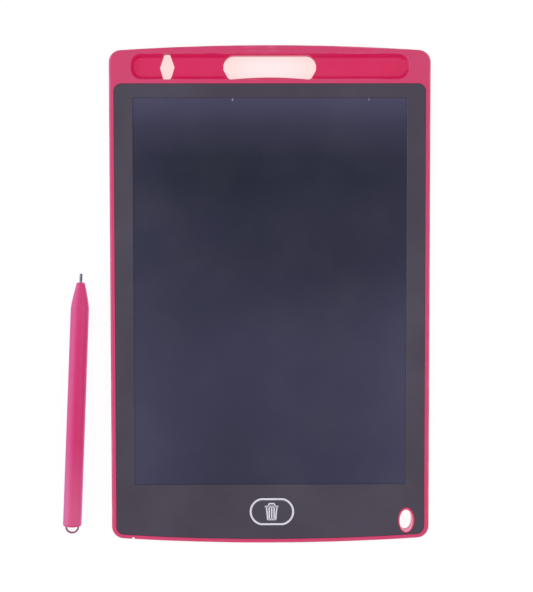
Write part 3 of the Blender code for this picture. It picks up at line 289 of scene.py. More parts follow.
def shade(piece):
    """Merge doubles, turn faces outwards and shade: smooth roundings, flat faces left flat."""
    builder = bmesh.new()
    builder.from_mesh(piece.data)
    bmesh.ops.remove_doubles(builder, verts=builder.verts, dist=MERGE_DISTANCE)
    bmesh.ops.dissolve_degenerate(builder, edges=builder.edges, dist=MERGE_DISTANCE)
    bmesh.ops.recalc_face_normals(builder, faces=builder.faces)
    builder.to_mesh(piece.data)
    builder.free()
    piece.data.shade_smooth()
    piece.data.set_sharp_from_angle(angle=SHARP_ANGLE)
    modifier = piece.modifiers.new("flat_faces_stay_flat", "WEIGHTED_NORMAL")
    modifier.keep_sharp = True
    make_plain(piece)
    return piece


print(f"edges sharper than {math.degrees(SHARP_ANGLE):.0f} degrees stay sharp")

# %% Straight and rounded edges
def prism(outline, low, high):
    """The two rings of a straight-sided solid."""
    return [(outline, low), (outline, high)]


def quarter_turn(steps=ROUND_STEPS):
    """Angles in even steps from nothing to a quarter turn."""
    return [quarter * step / steps for step in range(steps + 1)]


def lip(outline, top, radius, rising=True):
    """Rings of a cut that widens by radius as it reaches a surface at top, or at the bottom."""
    rings = []
    for angle in quarter_turn():
        level = radius * (1 - math.sin(angle))
        rings.append((outline(radius * (1 - math.cos(angle))), top - level if rising else top + level))
    return rings if rising else rings[::-1]


def bullnose(outline, top, radius):
    """Rings of a solid whose upper edge is rounded by radius."""
    rings = []
    for angle in quarter_turn():
        level = top - radius * (1 - math.sin(angle))
        rings.append((outline(-radius * (1 - math.cos(angle))), level))
    return rings


def bullnose_foot(outline, low, radius):
    """Rings of a solid whose lower edge is rounded by radius."""
    return [(ring, 2 * low - level) for ring, level in reversed(bullnose(outline, low, radius))]


print(f"{len(quarter_turn())} rings round an edge")

# %% [markdown]
# ## Colours as they are seen
# A given colour is a display value, but shaders work in linear light. One small function
# turns eight-bit display values into the linear ones, so that every finish below can be written
# in the numbers a paint or plastic sample would be given.
# %% Display colour to shader colour
def seen(red, green, blue):
    """An eight-bit display colour as the linear colour that shaders use, by the sRGB curve."""
    values = []
    for channel in (red, green, blue):
        share = channel / 255
        values.append(share / 12.92 if share <= 0.04045 else ((share + 0.055) / 1.055) ** 2.4)
    return (*values, 1.0)


print("raspberry in linear light:", [round(value, 3) for value in seen(205, 66, 108)])

# %% Make nodes, set them and link them
MIX_FACTOR = 0
MIX_FIRST_COLOUR = 6
MIX_SECOND_COLOUR = 7
MIX_COLOUR_OUT = 2


def node(tree, kind, **settings):
    """A new shader or geometry node with its settings."""
    made = tree.nodes.new(kind)
    for key, value in settings.items():
        setattr(made, key, value)
    return made


def plug(tree, socket, source):
    """Link the socket to a node's output, or set it to a plain value."""
    if isinstance(source, bpy.types.NodeSocket):
        tree.links.new(source, socket)
    else:
        socket.default_value = source


def feed(tree, made, **sources):
    """Set or link a node's inputs; an underscore in a keyword stands for a space."""
    for key, source in sources.items():
        plug(tree, made.inputs[key.replace("_", " ")], source)
    return made


def blend_by(tree, factor, first, second):
    """A colour mixed from two by a factor."""
    mix = node(tree, "ShaderNodeMix", data_type="RGBA")
    plug(tree, mix.inputs[MIX_FACTOR], factor)
    plug(tree, mix.inputs[MIX_FIRST_COLOUR], first)
    plug(tree, mix.inputs[MIX_SECOND_COLOUR], second)
    return mix.outputs[MIX_COLOUR_OUT]


print("node helpers ready")

# %% Places, ranges and sums of values
def remap(tree, value, low, high, to_low=0.0, to_high=1.0):
    """A value taken from one range to another and held inside it."""
    made = node(tree, "ShaderNodeMapRange")
    tree.links.new(value, made.inputs[0])
    for index, number in enumerate((low, high, to_low, to_high), 1):
        made.inputs[index].default_value = number
    return made.outputs[0]


def combine(tree, operation, first, second=0.0):
    """Two values through a Math node, or one where the operation takes one."""
    made = node(tree, "ShaderNodeMath", operation=operation)
    plug(tree, made.inputs[0], first)
    plug(tree, made.inputs[1], second)
    return made.outputs[0]


def product(tree, first, *others):
    """Several values multiplied."""
    for other in others:
        first = combine(tree, "MULTIPLY", first, other)
    return first


def place_of(tree, output="Object"):
    """The point on the piece, or its normal, in the piece's own space."""
    return node(tree, "ShaderNodeTexCoord").outputs[output]


def axes_of(tree, output="Object"):
    """The same as separate X, Y and Z values."""
    split = node(tree, "ShaderNodeSeparateXYZ")
    tree.links.new(place_of(tree, output), split.inputs[0])
    return split.outputs


def noise(tree, scale, detail=2.0, vector=None):
    """A soft noise value at a scale in cycles per metre."""
    made = node(tree, "ShaderNodeTexNoise")
    feed(tree, made, Vector=vector or place_of(tree), Scale=scale, Detail=detail)
    return made.outputs["Fac"]


print("value helpers ready")

# %% [markdown]
# ## Effects that several finishes share
# Moulded grain, rubbed edges, settled dust and handling marks turn up on nearly every surface of
# a used product. Each is built once as a node group with named inputs, and every finish places
# it with its own values. The groups only put out values; the shader stays in each material.
# %% Moulded grain
CELL_SHARE = 0.5
DRIFT_SPAN = (0.32, 0.68)


def new_group(name, inputs, outputs):
    """An empty shader group with float inputs and outputs."""
    tree = bpy.data.node_groups.new(name, "ShaderNodeTree")
    for label, value in inputs.items():
        socket = tree.interface.new_socket(label, in_out="INPUT", socket_type="NodeSocketFloat")
        socket.default_value = value
    for label in outputs:
        tree.interface.new_socket(label, in_out="OUTPUT", socket_type="NodeSocketFloat")
    return tree, tree.nodes.new("NodeGroupInput").outputs, tree.nodes.new("NodeGroupOutput")


def moulded_grain():
    """Fine spark-eroded grain, and the slow drift in shade that moulded plastic shows."""
    tree, given, out = new_group("moulded_grain", {"Grain Scale": 3500.0, "Drift Scale": 60.0},
                                 ("Height", "Drift"))
    grain = noise(tree, given["Grain Scale"], detail=3.0)
    cells = node(tree, "ShaderNodeTexVoronoi", feature="SMOOTH_F1")
    feed(tree, cells, Vector=place_of(tree), Scale=given["Grain Scale"])
    height = combine(tree, "ADD", product(tree, cells.outputs["Distance"], CELL_SHARE), grain)
    drift = remap(tree, noise(tree, given["Drift Scale"], detail=4.0), *DRIFT_SPAN)
    tree.links.new(height, out.inputs["Height"])
    tree.links.new(drift, out.inputs["Drift"])
    return tree


GRAIN = moulded_grain()
print("group:", GRAIN.name)

# %% Rubbed edges
EDGE_STARTS = (0.30, 0.62)
EDGE_STOPS = (0.80, 0.98)
RUBBED_SPAN = (0.38, 0.66)


def rubbed_edges():
    """A mask on the roundings above a level, broken up as rubbing leaves it."""
    given_sizes = {"Amount": 0.4, "Patch Scale": 140.0, "Lowest Level": -1.0}
    tree, given, out = new_group("rubbed_edges", given_sizes, ("Mask",))
    reached = combine(tree, "GREATER_THAN", axes_of(tree)["Z"], given["Lowest Level"])
    upright = combine(tree, "ABSOLUTE", axes_of(tree, "Normal")["Z"])
    rising = remap(tree, upright, *EDGE_STARTS)
    falling = remap(tree, upright, *EDGE_STOPS, 1.0, 0.0)
    patches = remap(tree, noise(tree, given["Patch Scale"], detail=6.0), *RUBBED_SPAN)
    mask = product(tree, rising, falling, patches, reached, given["Amount"])
    tree.links.new(mask, out.inputs["Mask"])
    return tree


EDGES = rubbed_edges()
print("group:", EDGES.name)

# %% Settled dust
FACES_UP = (0.55, 0.95)
SPECK_EDGE = (0.05, 0.12)
SPECK_PATCH_SCALE = 260.0
SPECK_PATCHES = (0.60, 0.66)
HAZE_SCALE = 45.0
HAZE_SPAN = (0.45, 0.75)
HAZE_MOST = 0.30


def settled_dust():
    """A thin even film and a few specks on faces that look up."""
    tree, given, out = new_group("settled_dust", {"Amount": 0.2, "Speck Scale": 700.0}, ("Mask",))
    facing_up = remap(tree, axes_of(tree, "Normal")["Z"], *FACES_UP)
    cells = node(tree, "ShaderNodeTexVoronoi", feature="F1")
    feed(tree, cells, Vector=place_of(tree), Scale=given["Speck Scale"])
    specks = remap(tree, cells.outputs["Distance"], *SPECK_EDGE, 1.0, 0.0)
    rare = remap(tree, noise(tree, SPECK_PATCH_SCALE, detail=1.0), *SPECK_PATCHES)
    haze = remap(tree, noise(tree, HAZE_SCALE, detail=5.0), *HAZE_SPAN, 0.0, HAZE_MOST)
    both = combine(tree, "ADD", product(tree, specks, rare), haze)
    tree.links.new(product(tree, both, facing_up, given["Amount"]), out.inputs["Mask"])
    return tree


DUST = settled_dust()
print("group:", DUST.name)

# %% Smears and scratches
SMEAR_TURN = 0.6
SMEAR_STRETCH = 0.30
SMEAR_SPAN = (0.35, 0.75)
SCRATCH_TURN = -0.9
SCRATCH_STRETCH = 0.006
SCRATCH_SPAN = (0.68, 0.74)


def stretched(tree, turn, share):
    """Places turned about Z and stretched along Y, so that a pattern on them runs in lines."""
    lean = node(tree, "ShaderNodeMapping")
    feed(tree, lean, Vector=place_of(tree), Rotation=(0.0, 0.0, turn), Scale=(1.0, share, 1.0))
    return lean.outputs[0]


def handling_marks():
    """Smears left by fingers and hair-fine scratches left by sleeves and the stylus."""
    tree, given, out = new_group("handling_marks", {"Smear Scale": 40.0, "Scratch Scale": 4500.0},
                                 ("Smear", "Scratch"))
    smears = noise(tree, given["Smear Scale"], 5.0, stretched(tree, SMEAR_TURN, SMEAR_STRETCH))
    lines = noise(tree, given["Scratch Scale"], 1.0, stretched(tree, SCRATCH_TURN, SCRATCH_STRETCH))
    tree.links.new(remap(tree, smears, *SMEAR_SPAN), out.inputs["Smear"])
    tree.links.new(remap(tree, lines, *SCRATCH_SPAN), out.inputs["Scratch"])
    return tree


MARKS = handling_marks()
print("group:", MARKS.name)

# %% [markdown]
# ## One recipe for every finish
# A finish is a base colour that drifts towards a second one, a roughness range that the grain
# and smears move through, a bump, and then wear and dust on top. The recipe takes these as
# numbers. What makes brushed steel or printed copper different is only its pattern, so that
# is passed in as a function which returns a factor and, if it has relief, a height.
# %% The finish recipe
DUST_COLOUR = seen(196, 190, 188)
SCRATCH_DEPTH = 0.4
BUMP_STRENGTH = 0.6


def use_group(tree, group, **values):
    """A group node with its inputs set."""
    made = node(tree, "ShaderNodeGroup", node_tree=group)
    return feed(tree, made, **values).outputs


def drift_pattern(tree, grain):
    """The plain pattern of moulded plastic: slow drift, grain as relief."""
    return grain["Drift"], grain["Height"]


def finish(name, colour, second, rough, grain=(3500.0, 60.0), depth=0.00002, wear=(0.3, None),
           dust=0.1, metallic=0.0, specular=0.5, pattern=drift_pattern, wear_from=-1.0, lit=None):
    """A procedural material from a colour pair, a roughness range, grain, wear, dust and a pattern.

    lit is a function that gives a mask of painted light, and the colour painted there.
    """
    material = bpy.data.materials.new(name)
    material.use_nodes = True
    tree = material.node_tree
    shader = tree.nodes["Principled BSDF"]
    shader.inputs["Metallic"].default_value = metallic
    shader.inputs["Specular IOR Level"].default_value = specular
    grains = use_group(tree, GRAIN, Grain_Scale=grain[0], Drift_Scale=grain[1])
    marks = use_group(tree, MARKS)
    factor, height = pattern(tree, grains)
    worn = use_group(tree, EDGES, Amount=wear[0], Lowest_Level=wear_from)["Mask"]
    dusty = use_group(tree, DUST, Amount=dust)["Mask"]
    base = blend_by(tree, factor, colour, second)
    base = blend_by(tree, worn, base, wear[1] or DUST_COLOUR)
    base = blend_by(tree, dusty, base, DUST_COLOUR)
    # painted light, where lit gives a mask and its colour
    if lit:
        base = blend_by(tree, lit[0](tree), base, lit[1])
    middle = product(tree, combine(tree, "ADD", marks["Smear"], grains["Drift"]), 0.5)
    gloss = remap(tree, combine(tree, "SUBTRACT", middle, worn), 0.0, 1.0, *rough)
    relief = combine(tree, "SUBTRACT", height, product(tree, marks["Scratch"], SCRATCH_DEPTH))
    bump = node(tree, "ShaderNodeBump")
    feed(tree, bump, Strength=BUMP_STRENGTH, Distance=depth, Height=relief)
    feed(tree, shader, Base_Color=base, Roughness=gloss, Normal=bump.outputs[0])
    return material


print("finish recipe ready")

# %% Finish, slot and body for a piece
def dress(piece, material, slot, body, *nodes):
    """Give the piece its finish and its body, and let it stand for its CAD nodes; slot is not used."""
    piece.data.materials.clear()
    piece.data.materials.append(material)
    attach(piece, body)
    if nodes:
        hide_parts(*nodes)
    print(f"{piece.name}: {len(piece.data.polygons)} faces in {material.name}, rides on {body}")


print("pieces can be dressed")

# %% [markdown]
# ## Pink plastic
# Both shells are moulded in the same raspberry ABS. Seen close, the colour isn't flat: it is a
# shade deeper where the melt cooled last, the pen groove has painted shade that is darkest at its
# ends, the grain takes the shine off, and corners that rub on a bag turn paler. The wall of the
# lanyard hole is painted paler, as painted light for what comes through the thin plastic.
# The stylus is moulded in a glossier grade of nearly the same pink, with painted sheen that grows
# towards its end and a little on the nose, and its loop is painted crimson as painted shade.
# %% Plan of the groove and of the lanyard hole
GROOVE_TOP_MARGIN = 0.00385
GROOVE_END_MARGIN = 0.00985
GROOVE_WIDTH = 0.0114
GROOVE_EDGE_ROUND = 0.00035
EYELET_HOLE_PLACE = (half_width - 0.01045, 0.01025 - half_length)
EYELET_HOLE_HALVES = (0.00290, 0.00488)
groove_reach = half_width - GROOVE_END_MARGIN
groove_top = half_length - GROOVE_TOP_MARGIN
groove_foot = groove_top - GROOVE_WIDTH
groove_y = (groove_top + groove_foot) / 2
print(f"groove {2000 * groove_reach:.1f} mm long at y {1000 * groove_y:.1f} mm")

# %% Patterns of the shells
# Painted shade in the pen groove: where it begins and is full below the rim, and its share.
PAINTED_SHADE_FROM = 0.0001
PAINTED_SHADE_TO = 0.0007
PAINTED_SHADE_SHARE = 0.75
END_SHADE_LENGTH = 0.0040
END_SHADE_FULL = 0.0012
# Painted light on the wall of the lanyard hole: its strength and where it fades.
EYELET_PAINTED_LIGHT = 0.85
EYELET_PAINTED_LIGHT_FROM = 1.09
EYELET_PAINTED_LIGHT_TO = 1.03


def painted_light_in_the_eyelet(tree):
    """A mask of painted light on the wall of the lanyard hole, for light from below coming through the
    plastic.
    """
    about_hole = node(tree, "ShaderNodeMapping", vector_type="TEXTURE")
    feed(tree, about_hole, Vector=place_of(tree), Location=(*EYELET_HOLE_PLACE, 0.0),
         Scale=(*EYELET_HOLE_HALVES, 1.0))
    away = node(tree, "ShaderNodeVectorMath", operation="LENGTH")
    tree.links.new(about_hole.outputs[0], away.inputs[0])
    return remap(tree, away.outputs["Value"], EYELET_PAINTED_LIGHT_TO, EYELET_PAINTED_LIGHT_FROM, EYELET_PAINTED_LIGHT, 0.0)


def drift_and_painted_groove_shade(tree, grain):
    """Slow drift on the faces, and painted shade down in the pen groove, darkest at its ends."""
    axes = axes_of(tree)
    below_rim = remap(tree, axes["Z"], rim_top - PAINTED_SHADE_FROM, rim_top - PAINTED_SHADE_TO)
    aside = combine(tree, "ABSOLUTE", axes["X"])
    share = remap(tree, aside, groove_reach - END_SHADE_LENGTH, groove_reach - END_SHADE_FULL,
                  PAINTED_SHADE_SHARE, 1.0)
    from_middle = combine(tree, "ABSOLUTE", combine(tree, "SUBTRACT", axes["Y"], groove_y))
    in_width = combine(tree, "LESS_THAN", from_middle, GROOVE_WIDTH / 2 + 2 * GROOVE_EDGE_ROUND)
    in_length = combine(tree, "LESS_THAN", aside, groove_reach + 2 * GROOVE_EDGE_ROUND)
    # painted shade inside the groove, below the rim, full at the groove's ends
    deep = product(tree, below_rim, share, in_width, in_length)
    faint = product(tree, grain["Drift"], 1 - PAINTED_SHADE_SHARE)
    return combine(tree, "ADD", deep, faint), grain["Height"]


print(f"groove shade is full {1000 * PAINTED_SHADE_TO:.1f} mm below the rim")

# %% Finishes of the shells
PALE_PINK = seen(226, 128, 156)
# the colour of the painted light on the lanyard hole's wall
PAINTED_LIGHT_PINK = seen(240, 160, 190)
RUBBED_BAND = 0.0005
# The second colour is the crimson of the groove's painted shade; the slow drift leans a little towards
# it.
shell_pink_painted_shade_and_light = finish("raspberry_shell_painted_shade_and_light", seen(196, 55, 101), seen(209, 8, 84), (0.34, 0.50),
                    wear=(0.48, PALE_PINK), dust=0.06, specular=0.35, pattern=drift_and_painted_groove_shade,
                    wear_from=rim_top - RUBBED_BAND, lit=(painted_light_in_the_eyelet, PAINTED_LIGHT_PINK))
# The back shell also carries the painted light on the lanyard hole's wall.
back_pink_painted_light = finish("raspberry_back_painted_light", seen(198, 52, 98), seen(193, 49, 95), (0.50, 0.58),
                   grain=(2200.0, 50.0), depth=0.00008, wear=(0.35, PALE_PINK), dust=0.05,
                   lit=(painted_light_in_the_eyelet, PAINTED_LIGHT_PINK))
print("finishes:", shell_pink_painted_shade_and_light.name, back_pink_painted_light.name)

# %% Finish of the stylus
# Painted sheen along the stylus towards its end, and a weaker painted highlight on the nose.
PAINTED_SHEEN_FROM = -0.066
PAINTED_SHEEN_TO = -0.098
NOSE_PAINTED_HIGHLIGHT = 0.42
NOSE_PAINTED_HIGHLIGHT_FROM = -0.024
NOSE_PAINTED_HIGHLIGHT_TO = 0.006
PEN_DRIFT = 0.06


def painted_sheen_to_the_end(tree, grain):
    """The stylus's pink, with painted sheen towards its end and a weaker painted highlight on the nose.
    """
    along = axes_of(tree)["Y"]
    painted_sheen = remap(tree, along, PAINTED_SHEEN_FROM, PAINTED_SHEEN_TO)
    nose_highlight = remap(tree, along, NOSE_PAINTED_HIGHLIGHT_FROM, NOSE_PAINTED_HIGHLIGHT_TO, 0.0, NOSE_PAINTED_HIGHLIGHT)
    painted_sheen = combine(tree, "MAXIMUM", painted_sheen, nose_highlight)
    return combine(tree, "ADD", painted_sheen, product(tree, grain["Drift"], PEN_DRIFT)), grain["Height"]


# The second colour is the paler pink of the painted sheen and highlight.
pen_pink_painted_sheen = finish("satin_stylus_pink_painted_sheen", seen(198, 18, 96), seen(202, 70, 118), (0.42, 0.54),
                  grain=(1800.0, 90.0), depth=0.00001, wear=(0.05, PALE_PINK), dust=0.03,
                  specular=0.35, pattern=painted_sheen_to_the_end)
pen_shader = pen_pink_painted_sheen.node_tree.nodes["Principled BSDF"]
pen_shader.inputs["Sheen Weight"].default_value = 1.0
pen_shader.inputs["Sheen Roughness"].default_value = 0.5
pen_shader.inputs["Sheen Tint"].default_value = seen(225, 150, 235)
print("finish:", pen_pink_painted_sheen.name)

# %% [markdown]
# ## Front shell
# The front shell is the rim, the head with its pen groove and the deck that carries the display.
# It could be modelled face by face, but a mould is cut, so it is cut here too: a rounded slab
# loses the mask seat, the groove, the thumb scoop, the hollows behind the deck and at last the
# openings. The groove is one stack of rings, from the rounded lip down the drafted walls and a
# fillet to a floor that dips towards its middle.
# %% Rings of the pen groove
GROOVE_END_SHARE = 0.85
GROOVE_DRAFT = 0.0013
GROOVE_FILLET = 0.0005
GROOVE_FLOOR = 0.0008
GROOVE_DIP = 0.0003
DIP_RINGS = 8
DIP_REACH = 0.93
floor_edge = frame_base + GROOVE_FLOOR + GROOVE_DIP
groove_corner = GROOVE_WIDTH / 2 * GROOVE_END_SHARE


def groove_outline(grow):
    """The groove's plan, let out by grow."""
    half_wide = GROOVE_WIDTH / 2 + grow
    return rounded_box(0, groove_y, groove_reach + grow, half_wide, groove_corner + grow, CORNER_STEPS)


def groove_rings():
    """The pen groove as a cutting solid, floor first."""
    shoulder = GROOVE_DRAFT + GROOVE_FILLET
    rings = []
    for step in range(DIP_RINGS, 0, -1):
        share = step / DIP_RINGS
        inwards = shoulder + (DIP_REACH * groove_corner - shoulder) * share
        rings.append((groove_outline(-inwards), floor_edge - GROOVE_DIP * share * (2 - share)))
    for angle in reversed(quarter_turn()):
        inwards = GROOVE_DRAFT + GROOVE_FILLET * (1 - math.cos(angle))
        rings.append((groove_outline(-inwards), floor_edge + GROOVE_FILLET * (1 - math.sin(angle))))
    rings += lip(groove_outline, rim_top, GROOVE_EDGE_ROUND)
    return rings + [(groove_outline(GROOVE_EDGE_ROUND), above)]


print(f"groove floor {1000 * (rim_top - floor_edge + GROOVE_DIP):.2f} mm below the rim")

# %% Finger opening
FINGER_HALF_TOP = 0.0210
FINGER_HALF_FOOT = 0.0182
FINGER_SHOULDER = 0.0064
FINGER_TOP_STEP = 0.0005
FINGER_FOOT_STEP = 0.0004
FINGER_BOW = 0.0013
FINGER_BOW_REACH = 0.85
FINGER_BOW_STEPS = 24
FINGER_CORNERS = (0.0048, 0.0035, 0.0018)


def finger_outline(grow):
    """The finger opening: straight at the top, round ends, lower edge bowed up."""
    top = groove_top - FINGER_TOP_STEP + grow
    foot = groove_foot - FINGER_FOOT_STEP - grow
    half_top = FINGER_HALF_TOP + grow
    half_foot = FINGER_HALF_FOOT + grow
    high, side, low = FINGER_CORNERS
    shoulder = groove_top - FINGER_TOP_STEP - FINGER_SHOULDER
    corners = [(half_top, top, high), (-half_top, top, high), (-half_top, shoulder, side),
               (-half_foot, foot, low)]
    for step in range(1, FINGER_BOW_STEPS):
        share = 2 * step / FINGER_BOW_STEPS - 1
        if abs(share) < FINGER_BOW_REACH:
            corners.append((share * half_foot, foot + FINGER_BOW * (1 - share * share), 0))
    corners += [(half_foot, foot, low), (half_top, shoulder, side)]
    return rounded_polygon(corners, CORNER_STEPS)


print(f"finger opening {2000 * FINGER_HALF_TOP:.1f} mm wide, {len(finger_outline(0))} points")

# %% Stand hole and thumb scoop
STAND_HOLE_FROM_SIDE = 0.0261
STAND_HOLE_HALVES = (0.00335, 0.0013, 0.0016)
STAND_HOLE_STEP = 0.0002
STAND_HOLE_CORNERS = (0.0008, 0.0012)
SCOOP_HALVES = (0.0170, 0.0011)
SCOOP_DEPTH = 0.0005
SCOOP_LAND = 0.0006
SCOOP_RINGS = 6
SCOOP_SPREAD = 0.95


def stand_hole_outline(grow):
    """The six-sided hole in the groove that takes the stylus as a prop."""
    half_high = GROOVE_WIDTH / 2 + STAND_HOLE_STEP + grow
    wide, top, foot = (half + grow for half in STAND_HOLE_HALVES)
    end, side = STAND_HOLE_CORNERS
    x = STAND_HOLE_FROM_SIDE - half_width
    corners = [(x + wide, groove_y, side), (x + top, groove_y + half_high, end),
               (x - top, groove_y + half_high, end), (x - wide, groove_y, side),
               (x - foot, groove_y - half_high, end), (x + foot, groove_y - half_high, end)]
    return rounded_polygon(corners, ROUND_STEPS)


def scoop_rings():
    """A shallow dish for the thumb above the finger opening."""
    half_x, half_y = SCOOP_HALVES
    middle = groove_top + GROOVE_EDGE_ROUND + SCOOP_LAND + half_y
    rings = []
    for step in range(SCOOP_RINGS, -1, -1):
        share = 1 - SCOOP_SPREAD * step / SCOOP_RINGS
        depth = SCOOP_DEPTH * (1 - share * share)
        rings.append((oval(0, middle, half_x * share, half_y * share), rim_top - depth))
    rings.append((rings[-1][0], above))
    return rings


print(f"stand hole {len(stand_hole_outline(0))} points, scoop {1000 * SCOOP_DEPTH:.1f} mm deep")

# %% Lanyard eyelet and prise notch
EYELET_PLACE = (half_width - 0.01036, 0.01045 - half_length)
EYELET_HALVES = (0.00375, 0.00583)
NOTCH_FROM_SIDE = 0.00975
NOTCH_HALF = 0.0006
NOTCH_DEPTH = 0.0010


def eyelet_outline(grow):
    """The oval of the lanyard eyelet."""
    return oval(*EYELET_PLACE, EYELET_HALVES[0] + grow, EYELET_HALVES[1] + grow)


def eyelet_hole(grow):
    """The hole through the eyelet."""
    return oval(*EYELET_HOLE_PLACE, EYELET_HOLE_HALVES[0] + grow, EYELET_HOLE_HALVES[1] + grow)


def notch_outline():
    """The small nick in the foot edge where the shells are prised apart."""
    x = NOTCH_FROM_SIDE - half_width
    edge = end_radius - half_length - math.sqrt(end_radius ** 2 - x * x)
    return [(x - NOTCH_HALF, edge - OVERRUN), (x + NOTCH_HALF, edge - OVERRUN),
            (x + NOTCH_HALF, edge + NOTCH_DEPTH), (x - NOTCH_HALF, edge + NOTCH_DEPTH)]


print(f"eyelet hole {2000 * EYELET_HOLE_HALVES[0]:.1f} x {2000 * EYELET_HOLE_HALVES[1]:.1f} mm")

# %% Plan of the key and of the display
KEY_FLANGE = 0.0010
KEY_STRAIGHT = 0.0102
KEY_HALVES = (0.01025, 0.0063)
FILM_CORNER = 0.0010
FILM_CLEARANCE = 0.0003
WINDOW_INSET = 0.0030
WINDOW_CORNER = 0.0004
key_x = (key_low.x + key_high.x) / 2
key_y = (key_low.y + key_high.y) / 2


def key_outline(grow):
    """The key's plan: two straight edges joined by round ends."""
    half_long, half_wide = KEY_HALVES
    half_straight = KEY_STRAIGHT / 2
    spread = half_long ** 2 - half_straight ** 2 - half_wide ** 2
    centre = spread / (2 * (half_long - half_straight))
    radius = half_long - centre
    swing = math.asin(half_wide / radius)
    right = arc(centre, 0, radius + grow, -swing, swing, 2 * CORNER_STEPS)
    return [(x + key_x, y + key_y) for x, y in right + turned_round(right)]


def film_outline(grow):
    """The display sheets' plan; a negative grow gives the window in the mask."""
    half_x = film_high.x + grow
    half_y = (film_high.y - film_low.y) / 2 + grow
    corner = FILM_CORNER + grow if grow > -FILM_CORNER else WINDOW_CORNER + WINDOW_INSET + grow
    return rounded_box(0, (film_high.y + film_low.y) / 2, half_x, half_y, corner)


print(f"key at {1000 * key_x:.2f}, {1000 * key_y:.2f} mm, {2000 * KEY_HALVES[0]:.1f} mm long")

# %% Cut the front shell
TOP_EDGE_ROUND = 0.0011
RIM_LIP = 0.00010
EYELET_STEP = 0.00006
FRAME_WALL = 0.0013
HEAD_WALL = 0.0016
TAIL_SLOT = (0.0035, 0.0012, 0.0002)
cavity_head = mask_high.y - HEAD_WALL
pocket_foot = film_low.y - FILM_CLEARANCE
foot_cavity_head = pocket_foot - HEAD_WALL / 2


def front_shell():
    """Rim, head with the pen groove, deck under the display, lanyard eyelet."""
    rounded_top = bullnose(body_outline, rim_top, TOP_EDGE_ROUND)
    shell = solid("front_shell", [(body_outline(0), frame_base)] + rounded_top)
    seat_mouth = [(mask_outline(SEAM_GAP + RIM_LIP), above)]
    seat = [(mask_outline(SEAM_GAP), mask_seat)]
    seat += lip(lambda grow: mask_outline(SEAM_GAP + grow), rim_top, RIM_LIP) + seat_mouth
    carve(shell, "DIFFERENCE", seat, groove_rings(), scoop_rings())
    carve(shell, "DIFFERENCE", prism(film_outline(FILM_CLEARANCE), deck_top, above))
    for head, ceiling in ((cavity_head, deck_underside), (foot_cavity_head, foot_underside)):
        carve(shell, "DIFFERENCE", prism(cavity_outline(head, FRAME_WALL, 0), below, ceiling))
    eyelet_top = bullnose(eyelet_outline, mask_high.z + EYELET_STEP, RIM_LIP)
    carve(shell, "UNION", [(eyelet_outline(0), frame_base)] + eyelet_top)
    tail_low, tail_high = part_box("display_flex_tail")
    tail_x = (tail_low.x + tail_high.x) / 2
    half_x, half_y, shift = TAIL_SLOT
    tail_slot = rounded_box(tail_x, pocket_foot - shift, half_x, half_y, RIM_LIP, 1)
    key_gap = KEY_FLANGE + SLIDE_GAP
    hole = [(eyelet_hole(0), below)] + lip(eyelet_hole, mask_high.z + EYELET_STEP, 2 * RIM_LIP)
    hole.append((eyelet_hole(2 * RIM_LIP), above))
    carve(shell, "DIFFERENCE", prism(finger_outline(0), below, above),
          prism(stand_hole_outline(0), below, above), hole, prism(notch_outline(), below, above),
          prism(tail_slot, below, above), prism(key_outline(key_gap), below, above))
    return shade(shell)


dress(front_shell(), shell_pink_painted_shade_and_light, "pink_shell", "tablet", "front_frame")

# %% [markdown]
# ## Rear shell
# The back is a flat tray: a wall with a rounded edge, a lip that nests inside the front shell,
# ribs that stiffen it, a ring for the coin cell and posts for the board. Only its outer face and
# the walls of the openings show while the tablet is whole, but the battery cover comes off, so
# the cell's well and the screw boss behind it are cut as well.
# %% Places on the rear shell
BACK_EDGE_ROUND = 0.0008
BACK_LIP = 0.00025
LIP_WALL = 0.0011
RIB_WALL = 0.0012
RIB_GRID = (3, 4)
POCKET_CORNER = 0.0010
CELL_CLEARANCE = 0.0003
CELL_RING_WALL = 0.0010
CELL_RING_HEIGHT = 0.0013
POST_RADIUS = 0.0016
POST_INSET = 0.0030
PIN_RADIUS = 0.0007
PIN_HEIGHT = 0.0004
BOARD_UNDER_GAP = 0.0008
mid_wall = REAR_WALL / 2
rib_top = REAR_WALL + RIB_HEIGHT
cell_x = (cell_low.x + cell_high.x) / 2
cell_y = (cell_low.y + cell_high.y) / 2
cell_radius = (cell_high.x - cell_low.x) / 2
ring_inner = cell_radius + CELL_CLEARANCE
ring_outer = ring_inner + CELL_RING_WALL
bay_head = cell_y + ring_outer + SLIDE_GAP
bay_inset = FRAME_WALL + SEAM_GAP + LIP_WALL
print(f"cell at {1000 * cell_x:.2f}, {1000 * cell_y:.2f} mm, radius {1000 * cell_radius:.1f} mm")

# %% Ribs, posts and cell ring
def rib_pockets():
    """The pockets that leave a grid of ribs behind the deck."""
    columns, rows = RIB_GRID
    left = bay_inset - half_width
    foot = bay_head + RIB_WALL
    width = (-2 * left - (columns - 1) * RIB_WALL) / columns
    height = (cavity_head - SEAM_GAP - LIP_WALL - foot - (rows - 1) * RIB_WALL) / rows
    pockets = []
    for column in range(columns):
        for row in range(rows):
            x = left + width / 2 + column * (width + RIB_WALL)
            y = foot + height / 2 + row * (height + RIB_WALL)
            outline = rounded_box(x, y, width / 2, height / 2, POCKET_CORNER)
            pockets.append(prism(outline, REAR_WALL, deck_underside + OVERRUN))
    return pockets


def circle(x, y, radius):
    """A round outline."""
    return oval(x, y, radius, radius)


